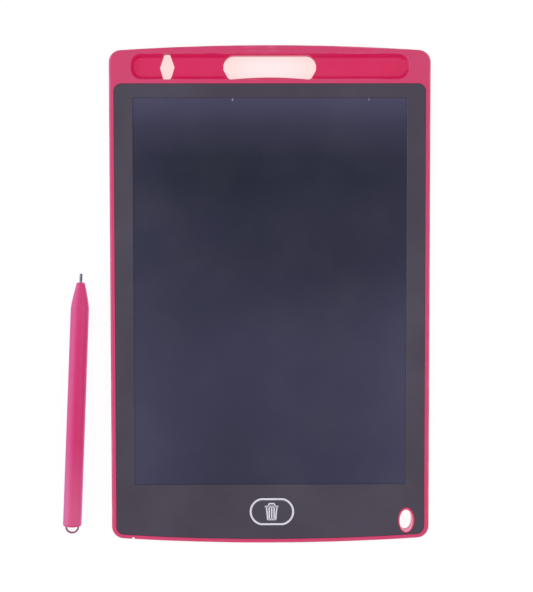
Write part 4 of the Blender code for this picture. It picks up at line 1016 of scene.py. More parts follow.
def board_posts():
    """Four posts under the board's corners, one under the key, and the cell's ring."""
    top = REAR_WALL + BOARD_UNDER_GAP
    places = [(x, y) for x in (board_low.x + POST_INSET, board_high.x - POST_INSET)
              for y in (board_low.y + POST_INSET, board_high.y - POST_INSET)]
    posts = [prism(circle(x, y, POST_RADIUS), mid_wall, top) for x, y in places + [(key_x, key_y)]]
    posts.append(prism(circle(cell_x, cell_y, ring_outer), mid_wall, REAR_WALL + CELL_RING_HEIGHT))
    pins = [prism(circle(x, y, PIN_RADIUS), mid_wall, board_high.z + PIN_HEIGHT)
            for x, y in (places[0], places[-1])]
    return posts, pins


print(f"{len(rib_pockets())} pockets between the ribs")

# %% Plans of the battery cover and the lock dish
COVER_CORNER = 0.0030
COVER_RECESS = 0.0002
COVER_FLANGE = 0.00055
COVER_GAP = 0.00015
PAD_RADIUS = 0.0030
PAD_HEIGHT = 0.0012
BOSS_WALL = 0.0009
BOSS_HEIGHT = 0.0013
BOSS_ROOF = 0.0002
SHANK_RADIUS = 0.0008
LOCK_TRAVEL = 0.0020
LOCK_CORNER = 0.0006
LOCK_GRIP = (0.0055, 0.0026)
LOCK_DISH = (0.0150, 0.0064, 0.0005)
LOCK_DISH_TAPER = 0.0006
CONTACT_GATE = 0.0054
cover_low, cover_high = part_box("battery_cover")
screw_low, screw_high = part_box("cover_screw")
knob_low, knob_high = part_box("lock_knob")
screw_x = (screw_low.x + screw_high.x) / 2
lock_x = (knob_low.x + knob_high.x) / 2
lock_y = (knob_low.y + knob_high.y) / 2


def cover_outline(grow):
    """The battery cover's plan."""
    half_x = (cover_high.x - cover_low.x) / 2 + grow
    half_y = (cover_high.y - cover_low.y) / 2 + grow
    middle_x = (cover_high.x + cover_low.x) / 2
    middle_y = (cover_high.y + cover_low.y) / 2
    return rounded_box(middle_x, middle_y, half_x, half_y, COVER_CORNER + grow)


def lock_box(length, width, corner):
    """A rounded box about the middle of the lock's travel."""
    return rounded_box(lock_x + LOCK_TRAVEL / 2, lock_y, length / 2, width / 2, corner)


print(f"screw at x {1000 * screw_x:.2f} mm, lock at {1000 * lock_x:.2f}, {1000 * lock_y:.2f} mm")

# %% Tray of the rear shell
def back_hole(outline, top):
    """An opening from below whose lower edge has a rounded lip on the back face."""
    under = [(outline(BACK_LIP), -OVERRUN)]
    return under + lip(outline, 0, BACK_LIP, rising=False) + [(outline(0), top)]


def rear_tray():
    """Back wall with its rounded edge, nesting lip, ribs, posts and cell ring."""
    rounded_back = bullnose_foot(body_outline, 0, BACK_EDGE_ROUND)
    tray = solid("rear_shell", rounded_back + [(body_outline(0), REAR_WALL)])
    inner = cavity_outline(cavity_head, FRAME_WALL, SEAM_GAP)
    carve(tray, "UNION", prism(inner, mid_wall, rib_top))
    bay = cavity_outline(bay_head, FRAME_WALL, SEAM_GAP + LIP_WALL)
    carve(tray, "DIFFERENCE", *rib_pockets(), prism(bay, REAR_WALL, rib_top + OVERRUN))
    posts, pins = board_posts()
    carve(tray, "UNION", *posts)
    carve(tray, "UNION", *pins)
    boss = circle(screw_x, cell_y, PAD_RADIUS + COVER_GAP + BOSS_WALL)
    carve(tray, "UNION", prism(boss, mid_wall, REAR_WALL + BOSS_HEIGHT))
    return tray


print(f"the tray is {1000 * rib_top:.1f} mm high over its ribs")

# %% Battery bay and openings of the rear shell
def cut_battery_bay(tray):
    """The seat of the battery cover, the cell's well, the screw's pilot hole and the contact gate."""
    seat_top = COVER_RECESS + COVER_FLANGE + SEAT_GAP
    ring_top = REAR_WALL + CELL_RING_HEIGHT
    carve(tray, "DIFFERENCE", back_hole(lambda grow: cover_outline(COVER_GAP + grow), seat_top))
    well = prism(circle(cell_x, cell_y, ring_inner), -OVERRUN, ring_top + OVERRUN)
    pad = prism(circle(screw_x, cell_y, PAD_RADIUS + COVER_GAP), -OVERRUN,
                COVER_RECESS + PAD_HEIGHT + SEAT_GAP)
    carve(tray, "DIFFERENCE", well, pad)
    pilot = prism(circle(screw_x, cell_y, SHANK_RADIUS + SEAM_GAP), -OVERRUN,
                  REAR_WALL + BOSS_HEIGHT - BOSS_ROOF)
    carve(tray, "DIFFERENCE", pilot)
    left = cell_x + cell_radius / 2
    half_gap = (board_low.x - left) / 2
    gate = rounded_box(left + half_gap, cell_y, half_gap, CONTACT_GATE, RIM_LIP)
    carve(tray, "DIFFERENCE", prism(gate, REAR_WALL + SEAT_GAP, ring_top + OVERRUN))


def rear_shell():
    """The whole rear shell, openings last."""
    tray = rear_tray()
    cut_battery_bay(tray)
    length, width, depth = LOCK_DISH
    dish_out = lock_box(length, width, LOCK_CORNER + LOCK_DISH_TAPER)
    dish_in = lock_box(length - 2 * LOCK_DISH_TAPER, width - 2 * LOCK_DISH_TAPER, LOCK_CORNER)
    carve(tray, "DIFFERENCE", [(dish_out, -OVERRUN), (dish_out, 0), (dish_in, depth)])
    grip_long, grip_wide = LOCK_GRIP
    slot = lock_box(grip_long + LOCK_TRAVEL + 2 * SLIDE_GAP, grip_wide + 2 * SLIDE_GAP, LOCK_CORNER)
    top = rib_top + OVERRUN
    through = REAR_WALL + OVERRUN / 2
    carve(tray, "DIFFERENCE", prism(slot, -OVERRUN, through),
          back_hole(finger_outline, top), back_hole(stand_hole_outline, top),
          prism(eyelet_hole(0), -OVERRUN, through), prism(notch_outline(), -OVERRUN, top))
    return shade(tray)


dress(rear_shell(), back_pink_painted_light, "pink_shell", "tablet", "rear_cover")

# %% [markdown]
# ## Mask and writing window
# The mask is a thin sheet, printed black underneath, with a clear window over the film. Its cut
# edges are what catch the light, so they are modelled: a rounded outer edge and a small bevel
# round the window. The film below is clear in truth, but laminated on a dark liquid crystal it
# reads as one deep blue-violet surface. Slow bands across it and paler sides are painted
# reflection, and soft patches are random tone of the crystal.
# %% Mask sheet
MASK_EDGE = 0.00006
WINDOW_BEVEL = 0.00008
mask_black = finish("printed_mask_black", seen(43, 33, 51), seen(52, 43, 61), (0.28, 0.42),
                    grain=(1500.0, 25.0), depth=0.000006, wear=(0.15, seen(120, 112, 128)), dust=0.06)


def window_outline(grow):
    """The window in the mask."""
    return film_outline(grow - WINDOW_INSET)


def mask_panel():
    """The black mask with its window, key hole and eyelet hole."""
    rounded_top = bullnose(mask_outline, mask_high.z, MASK_EDGE)
    panel = solid("mask_panel", [(mask_outline(0), mask_low.z)] + rounded_top)
    under = mask_low.z - OVERRUN
    bevel = [(window_outline(0), under), (window_outline(0), mask_high.z - WINDOW_BEVEL),
             (window_outline(WINDOW_BEVEL), mask_high.z), (window_outline(WINDOW_BEVEL), above)]
    holes = []
    for outline in (lambda grow: key_outline(SLIDE_GAP + grow),
                    lambda grow: eyelet_outline(SEAM_GAP + grow)):
        hole = [(outline(0), under)] + lip(outline, mask_high.z, MASK_EDGE)
        holes.append(hole + [(outline(MASK_EDGE), above)])
    carve(panel, "DIFFERENCE", bevel, *holes)
    return shade(panel)


dress(mask_panel(), mask_black, "mask_black", "tablet", "mask_film")

# %% Writing film
WINDOW_SIDE = film_high.x - WINDOW_INSET
WINDOW_TOP = film_high.y - WINDOW_INSET
WINDOW_FOOT = film_low.y + WINDOW_INSET
# Painted reflection: brightness in bands from the window's foot to its top, and paler sides.
PAINTED_REFLECTION_BANDS = ((0.00, 0.40), (0.36, 0.39), (0.50, 0.31), (0.60, 0.20), (0.71, 0.15), (0.79, 0.05),
              (0.85, 0.07), (0.93, 0.36), (1.00, 0.86))
PAINTED_SIDE_POWER = 3.0
PAINTED_SIDE_SHARE = 0.30
UPPER_PAINTED_SIDE_SHARE = 0.09
PAINTED_SIDE_CHANGE = (0.30, 0.55)
PATCH_SCALE = 13.0
PATCH_SPAN = (0.35, 0.65)
PATCH_SHARE = 0.06


def crystal_tone_and_painted_reflection(tree, grain):
    """Painted reflection as slow bands up the window and paler sides, most at the bottom, with random
    patches of tone.
    """
    axes = axes_of(tree)
    height = remap(tree, axes["Y"], WINDOW_FOOT, WINDOW_TOP)
    ramp = node(tree, "ShaderNodeValToRGB")
    tree.links.new(height, ramp.inputs[0])
    stops = ramp.color_ramp.elements
    stops.remove(stops[1])
    for place, level in PAINTED_REFLECTION_BANDS:
        stop = stops.new(place) if place else stops[0]
        stop.position = place
        stop.color = (level, level, level, 1.0)
    aside = remap(tree, combine(tree, "ABSOLUTE", axes["X"]), 0.0, WINDOW_SIDE)
    share = remap(tree, height, *PAINTED_SIDE_CHANGE, PAINTED_SIDE_SHARE, UPPER_PAINTED_SIDE_SHARE)
    sides = product(tree, combine(tree, "POWER", aside, PAINTED_SIDE_POWER), share)
    patches = noise(tree, PATCH_SCALE, detail=1.0)
    patches = remap(tree, patches, *PATCH_SPAN, -PATCH_SHARE, PATCH_SHARE)
    factor = combine(tree, "ADD", combine(tree, "ADD", ramp.outputs[0], sides), patches)
    return factor, grain["Height"]


# The second colour is the pale violet of the painted reflection.
window_film_painted_reflection = finish("writing_film_violet_painted_reflection", seen(8, 13, 38), seen(66, 63, 91), (0.22, 0.34),
                     grain=(1100.0, 18.0), depth=0.000003, wear=(0.0, None), dust=0.04,
                     specular=0.25, pattern=crystal_tone_and_painted_reflection)
print(f"window {2000 * WINDOW_SIDE:.1f} x {1000 * (WINDOW_TOP - WINDOW_FOOT):.1f} mm")

# %% Two small marks on the film
MARK_PLACES = ((-0.0168, 0.0886, 0.00040, 0.00065), (0.0446, 0.0886, 0.00030, 0.00055))
MARK_THICKNESS = 0.00002
MARK_STEPS = 24
mark_grey = finish("film_mark_grey", seen(128, 124, 138), seen(112, 108, 122), (0.35, 0.50),
                   grain=(3000.0, 400.0), depth=0.000003, wear=(0.0, None), dust=0.04)


def film_marks():
    """Two pale dots near the window's upper edge."""
    low = mask_seat - MARK_THICKNESS / 2
    high = mask_seat + MARK_THICKNESS
    dots = [prism(oval(*mark, MARK_STEPS), low, high) for mark in MARK_PLACES]
    return shade(solid("film_marks", *dots))


dress(film_marks(), mark_grey, "writing_film", "tablet")

# %% [markdown]
# ## Geometry Nodes for what follows a rule
# Lines that follow a path, ribs that repeat in a row and bodies turned on an axis all follow a
# rule, so each gets a small tree: the mesh of the object gives the path, the single rib or the
# half profile, and named inputs give the sizes. Every tree ends in Realize Instances and Set
# Material, and its result becomes a plain mesh that the frame can carry.
# %% Open and close a tree
def new_tree(name, *inputs):
    """A geometry tree with a geometry socket each way and named inputs of a kind."""
    tree = bpy.data.node_groups.new(name, "GeometryNodeTree")
    tree.interface.new_socket("Geometry", in_out="INPUT", socket_type="NodeSocketGeometry")
    tree.interface.new_socket("Geometry", in_out="OUTPUT", socket_type="NodeSocketGeometry")
    for label, kind in inputs:
        tree.interface.new_socket(label, in_out="INPUT", socket_type="NodeSocket" + kind)
    tree.interface.new_socket("Material", in_out="INPUT", socket_type="NodeSocketMaterial")
    return tree, tree.nodes.new("NodeGroupInput").outputs


def close_tree(tree, geometry, given):
    """Realize the instances, set the material and send the geometry out."""
    real = node(tree, "GeometryNodeRealizeInstances")
    tree.links.new(geometry, real.inputs[0])
    painted = feed(tree, node(tree, "GeometryNodeSetMaterial"), Material=given["Material"])
    tree.links.new(real.outputs[0], painted.inputs["Geometry"])
    tree.links.new(painted.outputs[0], tree.nodes.new("NodeGroupOutput").inputs[0])
    return tree


print("tree helpers ready")

# %% Run a tree on a path
def grow_by(piece, tree, material, **values):
    """Run a tree on the piece with its inputs set by socket identifier, and keep the plain mesh."""
    modifier = piece.modifiers.new(tree.name, "NODES")
    modifier.node_group = tree
    values = {key.replace("_", " "): value for key, value in values.items()}
    values["Material"] = material
    for socket in tree.interface.items_tree:
        if socket.in_out == "INPUT" and socket.name in values:
            modifier[socket.identifier] = values[socket.name]
    make_plain(piece)
    return shade(piece)


def path_object(name, *paths, closed=True):
    """An object that holds only the edges of one or more paths."""
    points = []
    edges = []
    for path in paths:
        first = len(points)
        points += path
        edges += [(first + i, first + i + 1) for i in range(len(path) - 1)]
        if closed:
            edges.append((len(points) - 1, first))
    mesh = bpy.data.meshes.new(name)
    mesh.from_pydata(points, edges, [])
    piece = bpy.data.objects.new(name, mesh)
    bpy.context.scene.collection.objects.link(piece)
    return piece


print("paths can be grown")

# %% A flat line and a round wire
LINE_CORNER_STEPS = 4
WIRE_SIDES = 20


def flat_line_tree():
    """A flat line of some width and thickness laid along the edges of the mesh."""
    tree, given = new_tree("flat_line", ("Width", "Float"), ("Thickness", "Float"), ("Corner", "Float"))
    path = node(tree, "GeometryNodeMeshToCurve")
    tree.links.new(given["Geometry"], path.inputs[0])
    eased = node(tree, "GeometryNodeFilletCurve", mode="POLY")
    feed(tree, eased, Curve=path.outputs[0], Count=LINE_CORNER_STEPS, Radius=given["Corner"],
         Limit_Radius=True)
    level = node(tree, "GeometryNodeSetCurveNormal", mode="Z_UP")
    tree.links.new(eased.outputs[0], level.inputs[0])
    section = node(tree, "GeometryNodeCurvePrimitiveQuadrilateral", mode="RECTANGLE")
    feed(tree, section, Width=given["Width"], Height=given["Thickness"])
    swept = node(tree, "GeometryNodeCurveToMesh")
    feed(tree, swept, Curve=level.outputs[0], Profile_Curve=section.outputs[0], Fill_Caps=True)
    return close_tree(tree, swept.outputs[0], given)


def wire_tree():
    """A round wire along the edges of the mesh."""
    tree, given = new_tree("round_wire", ("Radius", "Float"), ("Sides", "Int"))
    path = node(tree, "GeometryNodeMeshToCurve")
    tree.links.new(given["Geometry"], path.inputs[0])
    section = node(tree, "GeometryNodeCurvePrimitiveCircle")
    feed(tree, section, Resolution=given["Sides"], Radius=given["Radius"])
    swept = node(tree, "GeometryNodeCurveToMesh")
    feed(tree, swept, Curve=path.outputs[0], Profile_Curve=section.outputs[0], Fill_Caps=True)
    return close_tree(tree, swept.outputs[0], given)


FLAT_LINE = flat_line_tree()
WIRE = wire_tree()
print("trees:", FLAT_LINE.name, WIRE.name)

# %% A row of copies and a turned body
TURNING_RADIUS = 0.01
TURNED_SEGMENTS = 72


def row_tree():
    """Copies of the mesh in a row along a step."""
    tree, given = new_tree("copies_in_a_row", ("Count", "Int"), ("Step", "Vector"))
    row = node(tree, "GeometryNodeMeshLine", mode="OFFSET")
    feed(tree, row, Count=given["Count"], Offset=given["Step"])
    copies = node(tree, "GeometryNodeInstanceOnPoints")
    feed(tree, copies, Points=row.outputs[0], Instance=given["Geometry"])
    return close_tree(tree, copies.outputs[0], given)


def turned_tree():
    """A body turned about Z from the mesh's edges, drawn one turning radius off the axis."""
    tree, given = new_tree("turned_body", ("Segments", "Int"), ("Turning Radius", "Float"))
    profile = node(tree, "GeometryNodeMeshToCurve")
    tree.links.new(given["Geometry"], profile.inputs[0])
    turn = node(tree, "GeometryNodeCurvePrimitiveCircle")
    feed(tree, turn, Resolution=given["Segments"], Radius=given["Turning Radius"])
    swept = node(tree, "GeometryNodeCurveToMesh")
    feed(tree, swept, Curve=turn.outputs[0], Profile_Curve=profile.outputs[0])
    closed = node(tree, "GeometryNodeMergeByDistance")
    feed(tree, closed, Geometry=swept.outputs[0], Distance=MERGE_DISTANCE)
    return close_tree(tree, closed.outputs[0], given)


ROW = row_tree()
TURNED = turned_tree()


def turned(name, profile, material, segments=TURNED_SEGMENTS, closed=False):
    """A body turned about Z from a profile of radius and height."""
    points = [(radius - TURNING_RADIUS, -height, 0) for radius, height in profile]
    piece = path_object(name, points, closed=closed)
    return grow_by(piece, TURNED, material, Segments=segments, Turning_Radius=TURNING_RADIUS)


print("trees:", ROW.name, TURNED.name)

# %% [markdown]
# ## Erase key
# The key is a cap that lies flush in the mask, with a flange that keeps it from falling out and
# a plunger that reaches the snap dome. A pale ring is printed round its edge and a waste bin in
# its middle, the usual sign for wiping a screen. Print has almost no thickness, so both are thin
# meshes that stand a hair above the cap and move with it.
# %% Key cap
KEY_EDGE_ROUND = 0.00010
KEY_FLANGE_THICKNESS = 0.0005
PLUNGER_RADIUS = 0.0022


def key_plunger():
    """The plunger's outline with as many points as the key's."""
    points = []
    for x, y in key_outline(KEY_FLANGE):
        reach = PLUNGER_RADIUS / math.hypot(x - key_x, y - key_y)
        points.append((key_x + (x - key_x) * reach, key_y + (y - key_y) * reach))
    return points


def key_cap():
    """Cap, flange and plunger in one moulding."""
    flange_top = mask_low.z - SEAT_GAP
    flange_base = flange_top - KEY_FLANGE_THICKNESS
    rings = [(key_plunger(), key_low.z), (key_plunger(), flange_base),
             (key_outline(KEY_FLANGE), flange_base), (key_outline(KEY_FLANGE), flange_top),
             (key_outline(0), flange_top)]
    return shade(solid("key_cap", rings + bullnose(key_outline, mask_high.z, KEY_EDGE_ROUND)))


key_black = finish("key_cap_black", seen(48, 39, 56), seen(54, 44, 62), (0.28, 0.40),
                   grain=(1500.0, 30.0), depth=0.000006, wear=(0.2, seen(120, 112, 128)), dust=0.05)
dress(key_cap(), key_black, "mask_black", "erase_key", "erase_key")

# %% Printed ring
RING_WIDTH = 0.00088
PRINT_THICKNESS = 0.00003
print_level = key_high.z + PRINT_THICKNESS / 3
print_white = finish("key_print_white", seen(214, 210, 222), seen(204, 200, 212), (0.40, 0.55),
                     grain=(2500.0, 200.0), depth=0.000004, wear=(0.0, None), dust=0.06)


def printed_line(name, points, width, corner=0.0, closed=False):
    """A printed line of some width through points on the key."""
    path = path_object(name, [(x, y, print_level) for x, y in points], closed=closed)
    return grow_by(path, FLAT_LINE, print_white, Width=width, Thickness=PRINT_THICKNESS, Corner=corner)


def printed_ring():
    """The pale ring round the key's edge."""
    path = key_outline(-RING_WIDTH / 2 - KEY_EDGE_ROUND)
    return printed_line("key_ring_print", path, RING_WIDTH, closed=True)


dress(printed_ring(), print_white, "mask_black", "erase_key")

# %% Printed waste bin
BIN_LINE = 0.00064
BIN_RIB_LINE = 0.00066
BIN_RIB_PITCH = 0.00112
BIN_RIB_COUNT = 3
BIN_CORNER = 0.00012
BIN_OFFSET = -0.0001
LID_HALF = 0.00305
LID_LEVEL = 0.0024
HANDLE_HALVES = (0.0016, 0.0011)
HANDLE_TOP = 0.0037
BIN_HALVES = (0.0024, 0.0018)
BIN_FOOT = -0.0036


def join_pieces(name, pieces):
    """One piece from several, with the name given."""
    builder = bmesh.new()
    for piece in pieces:
        builder.from_mesh(piece.data)
        spent = piece.data
        bpy.data.objects.remove(piece)
        bpy.data.meshes.remove(spent)
    return shade(link_mesh(name, builder))


def bin_line(name, points, width, corner=0.0):
    """A line of the bin, drawn about the bin's own middle."""
    return printed_line(name, [(key_x + BIN_OFFSET + x, key_y + y) for x, y in points], width, corner)


def printed_bin():
    """A waste bin: handle, lid line, tapered body and three ribs."""
    low_half, high_half = HANDLE_HALVES
    top_half, foot_half = BIN_HALVES
    handle = [(-low_half, LID_LEVEL), (-high_half, HANDLE_TOP), (high_half, HANDLE_TOP),
              (low_half, LID_LEVEL)]
    body = [(-top_half, LID_LEVEL), (-foot_half, BIN_FOOT), (foot_half, BIN_FOOT),
            (top_half, LID_LEVEL)]
    lid = [(-LID_HALF, LID_LEVEL), (LID_HALF, LID_LEVEL)]
    lines = [bin_line(name, points, BIN_LINE, BIN_CORNER)
             for name, points in (("bin_handle", handle), ("bin_body", body), ("bin_lid", lid))]
    rib = bin_line("bin_ribs", [(-BIN_RIB_PITCH, LID_LEVEL), (-BIN_RIB_PITCH, BIN_FOOT)], BIN_RIB_LINE)
    ribs = grow_by(rib, ROW, print_white, Count=BIN_RIB_COUNT, Step=(BIN_RIB_PITCH, 0.0, 0.0))
    return join_pieces("waste_bin_print", lines + [ribs])


dress(printed_bin(), print_white, "mask_black", "erase_key")

# %% [markdown]
# ## Battery cover, screw and lock
# The parts on the back are small, so their edges do the work: the cover has a rounded rim and a
# plug that fills the cell's well, the screw a dished cross recess and a real thread, and the lock
# a row of half-round ribs for a fingertip. Thread and ribs follow a rule and come from trees.
# %% Battery cover
COVER_EDGE = 0.00015
HEAD_RADIUS = 0.0016
HEAD_HEIGHT = 0.0005
SCREW_RECESS = 0.00008
cover_top = REAR_WALL - SEAT_GAP


def battery_door():
    """Plate, plug behind the cell, screw pad and the screw's counterbore."""
    low = COVER_RECESS
    plate_top = low + COVER_FLANGE
    rounded_rim = bullnose_foot(cover_outline, low, COVER_EDGE)
    door = solid("battery_door", rounded_rim + [(cover_outline(0), plate_top)])
    middle = low + COVER_FLANGE / 2
    carve(door, "UNION", prism(circle(cell_x, cell_y, ring_inner - COVER_GAP), middle, cover_top),
          prism(circle(screw_x, cell_y, PAD_RADIUS), middle, low + PAD_HEIGHT))
    head_floor = low + SCREW_RECESS + HEAD_HEIGHT + SEAT_GAP
    for radius, top in ((HEAD_RADIUS, head_floor), (SHANK_RADIUS, low + PAD_HEIGHT + OVERRUN)):
        carve(door, "DIFFERENCE", prism(circle(screw_x, cell_y, radius + SEAM_GAP), -OVERRUN, top))
    return shade(door)


dress(battery_door(), back_pink_painted_light, "pink_shell", "battery_cover", "battery_cover")

# %% Turned steel
def rings_about(tree, x, y, scale, distortion):
    """Fine turning marks about an upright axis at x and y."""
    shift = node(tree, "ShaderNodeMapping")
    feed(tree, shift, Vector=place_of(tree), Location=(-x, -y, 0.0))
    rings = node(tree, "ShaderNodeTexWave", wave_type="RINGS", rings_direction="Z")
    feed(tree, rings, Vector=shift.outputs[0], Scale=scale, Distortion=distortion)
    return rings.outputs["Fac"]


def steel_rings(tree, grain):
    """Turning marks round the screw's axis."""
    rings = rings_about(tree, screw_x, cell_y, 3000.0, 1.5)
    return product(tree, rings, grain["Drift"]), rings


steel = finish("turned_steel", seen(196, 196, 200), seen(150, 150, 156), (0.22, 0.38),
               grain=(4000.0, 400.0), depth=0.000008, wear=(0.0, None), dust=0.0, metallic=1.0,
               pattern=steel_rings)
print("finish:", steel.name)

# %% Thread
THREAD_PITCH = 0.0003
THREAD_CREST = 0.00009
THREAD_STEPS = 24
THREAD_SIDES = 4


def thread_tree():
    """A thread: a spiral with a small crest swept along it."""
    tree, given = new_tree("screw_thread", ("Turns", "Float"), ("Radius", "Float"), ("Height", "Float"),
                           ("Crest", "Float"), ("Place", "Vector"))
    spiral = node(tree, "GeometryNodeCurveSpiral")
    feed(tree, spiral, Resolution=THREAD_STEPS, Rotations=given["Turns"], Start_Radius=given["Radius"],
         End_Radius=given["Radius"], Height=given["Height"])
    crest = node(tree, "GeometryNodeCurvePrimitiveCircle")
    feed(tree, crest, Resolution=THREAD_SIDES, Radius=given["Crest"])
    swept = node(tree, "GeometryNodeCurveToMesh")
    feed(tree, swept, Curve=spiral.outputs[0], Profile_Curve=crest.outputs[0], Fill_Caps=True)
    moved = node(tree, "GeometryNodeTransform")
    feed(tree, moved, Geometry=swept.outputs[0], Translation=given["Place"])
    return close_tree(tree, moved.outputs[0], given)


def screw_thread(start):
    """The thread from a level up to the screw's end."""
    turns = (screw_high.z - start) / THREAD_PITCH - 1
    axis = path_object("screw_thread", [(0, 0, 0), (0, 0, OVERRUN)], closed=False)
    return grow_by(axis, thread_tree(), steel, Turns=turns, Radius=SHANK_RADIUS - THREAD_CREST,
                   Height=turns * THREAD_PITCH, Crest=THREAD_CREST,
                   Place=(screw_x, cell_y, start + THREAD_PITCH / 2))


print(f"thread of {2000 * SHANK_RADIUS:.1f} mm with a pitch of {1000 * THREAD_PITCH:.1f} mm")

# %% Screw with a cross recess
HEAD_DOME = 0.0003
HEAD_ANGLES = (0.6, 0.9, 1.2, quarter)
CROSS_HALVES = (0.0010, 0.00024)
CROSS_TAPER = 0.4
CROSS_DEPTH = 0.00028
CROSS_STEPS = 2


def door_screw():
    """Domed head with a cross recess, shank and thread."""
    base = COVER_RECESS + SCREW_RECESS
    top = base + HEAD_HEIGHT
    core = SHANK_RADIUS - THREAD_CREST
    dome = [(HEAD_RADIUS * math.sin(a), base + HEAD_DOME * (1 - math.cos(a))) for a in HEAD_ANGLES]
    shank = [(HEAD_RADIUS, top), (core, top), (core, screw_high.z), (0, screw_high.z)]
    screw = turned("screw_body", [(0, base)] + dome + shank, steel)
    screw.data.transform(Matrix.Translation((screw_x, cell_y, 0)))
    wide, narrow = CROSS_HALVES
    for half_x, half_y in ((wide, narrow), (narrow, wide)):
        mouth, foot = (rounded_box(screw_x, cell_y, half_x * share, half_y * share, RIM_LIP * share,
                                   CROSS_STEPS) for share in (1, CROSS_TAPER))
        carve(screw, "DIFFERENCE", [(mouth, -OVERRUN), (mouth, base), (foot, base + CROSS_DEPTH)])
    return join_pieces("door_screw", [screw, screw_thread(top)])


dress(door_screw(), steel, "steel", "battery_cover", "cover_screw")

# %% Lock slider
KNOB_FLANGE = (0.0114, 0.0050, 0.00035)
RIB_COUNT = 5
RIB_PITCH = 0.0011
RIB_RADIUS = 0.00036
GRIP_RECESS = 0.0002
GRIP_EDGE = 0.00025
knob_black = finish("lock_knob_black", seen(52, 48, 54), seen(44, 40, 46), (0.38, 0.55),
                    grain=(3000.0, 120.0), depth=0.00002, wear=(0.6, seen(110, 104, 112)), dust=0.10)


def grip_rib():
    """One half-round rib across the grip, the first of the row."""
    x = lock_x - (RIB_COUNT - 1) / 2 * RIB_PITCH
    half = LOCK_GRIP[1] / 2 - GRIP_EDGE / 2
    level = GRIP_RECESS + RIB_RADIUS
    path = path_object("grip_rib", [(x, lock_y - half, level), (x, lock_y + half, level)], closed=False)
    rib = grow_by(path, WIRE, knob_black, Radius=RIB_RADIUS, Sides=WIRE_SIDES)
    return grow_by(rib, ROW, knob_black, Count=RIB_COUNT, Step=(RIB_PITCH, 0.0, 0.0))


def grip_outline(grow):
    """The grip's plan."""
    half_x, half_y = (size / 2 + grow for size in LOCK_GRIP)
    return rounded_box(lock_x, lock_y, half_x, half_y, LOCK_CORNER + grow)


def lock_grip():
    """Flange inside, grip outside, ribs on the grip."""
    length, width, thickness = KNOB_FLANGE
    flange = rounded_box(lock_x, lock_y, length / 2, width / 2, LOCK_CORNER)
    flange_base = REAR_WALL + SEAT_GAP
    core_low = GRIP_RECESS + RIB_RADIUS
    rings = bullnose_foot(grip_outline, core_low, GRIP_EDGE) + [(grip_outline(0), flange_base)]
    rings += [(flange, flange_base), (flange, flange_base + thickness)]
    return join_pieces("lock_grip", [solid("lock_core", rings), grip_rib()])


dress(lock_grip(), knob_black, "knob_black", "lock_slider", "lock_knob")

# %% [markdown]
# ## Stylus
# The stylus is a hollow moulded barrel with a nose cone pressed in, a steel tip and an end plug
# with a small loop for a cord. Every part but the loop is a body of revolution, so the half
# profile is drawn and a tree turns it. The parts are made upright on the axis, tip down, and
# then their meshes are laid on the table at the place and lean of the real one.
# %% Place and length of the stylus
TIP_PLACE = (-half_width - 0.0131, 0.1234 - half_length, 0.0042)
STYLUS_LEAN = math.radians(2.5)
TIP_EXPOSED = 0.0041
NOSE_LENGTH = 0.0113
BARREL_LENGTH = 0.0990
FRONT_RADIUS = 0.0041
REAR_RADIUS = 0.00419
BARREL_WALL = 0.0011
BARREL_EDGE = 0.0002
STYLUS_GAP = 0.00015
PLUG_RIM = 0.0005
nose_end = TIP_EXPOSED + NOSE_LENGTH
barrel_start = nose_end + STYLUS_GAP
barrel_end = barrel_start + BARREL_LENGTH
rim_start = barrel_end + STYLUS_GAP
bore = FRONT_RADIUS - BARREL_WALL
spigot = bore - STYLUS_GAP


def lay_down(piece):
    """Turn a part made upright on the axis and put it in its place beside the tablet."""
    turn = Matrix.Rotation(-STYLUS_LEAN, 4, "Z") @ Matrix.Rotation(quarter, 4, "X")
    piece.data.transform(Matrix.Translation(TIP_PLACE) @ turn)
    piece.data.update()
    return piece


print(f"stylus {1000 * (rim_start + PLUG_RIM):.1f} mm long without its loop")

# %% Stylus tip
TIP_RADIUS = 0.00065
TIP_INSIDE = 0.0150
TIP_SEGMENTS = 48
BALL_STEPS = 8
COLLAR_RADIUS = 0.0013
COLLAR_LENGTH = 0.0020
tip_end = TIP_EXPOSED + TIP_INSIDE
tip_steel = finish("stylus_tip_steel", seen(116, 108, 114), seen(86, 78, 86), (0.24, 0.40),
                   grain=(3000.0, 500.0), depth=0.00001, wear=(0.0, None), dust=0.0, metallic=1.0)


def pen_tip():
    """A round-ended steel rod with a collar inside the nose."""
    ball = [(TIP_RADIUS * math.sin(a), TIP_RADIUS * (1 - math.cos(a))) for a in quarter_turn(BALL_STEPS)]
    collar = tip_end - COLLAR_LENGTH
    rod = [(TIP_RADIUS, collar), (COLLAR_RADIUS, collar), (COLLAR_RADIUS, tip_end), (0, tip_end)]
    return lay_down(turned("pen_tip", ball + rod, tip_steel, TIP_SEGMENTS))


dress(pen_tip(), tip_steel, "tip_metal", "stylus", "stylus_tip")

# %% Nose cone
NOSE_SHARES = ((0, 0.37), (0.03, 0.46), (0.12, 0.51), (0.30, 0.63), (0.53, 0.765), (0.70, 0.86),
               (0.86, 0.94), (1.0, 0.985))
NOSE_STEPS = 3
SPIGOT_LENGTH = 0.0060
SEAM_SHUT = 0.00014


def nose_curve():
    """The nose cone's outside, through the shares of its length and of the barrel's radius."""
    points = []
    for (along, wide), (next_along, next_wide) in zip(NOSE_SHARES, NOSE_SHARES[1:]):
        for step in range(NOSE_STEPS):
            share = step / NOSE_STEPS
            points.append((FRONT_RADIUS * (wide + (next_wide - wide) * share),
                           TIP_EXPOSED + NOSE_LENGTH * (along + (next_along - along) * share)))
    points.append((FRONT_RADIUS * NOSE_SHARES[-1][1], nose_end + SEAM_SHUT))
    return points


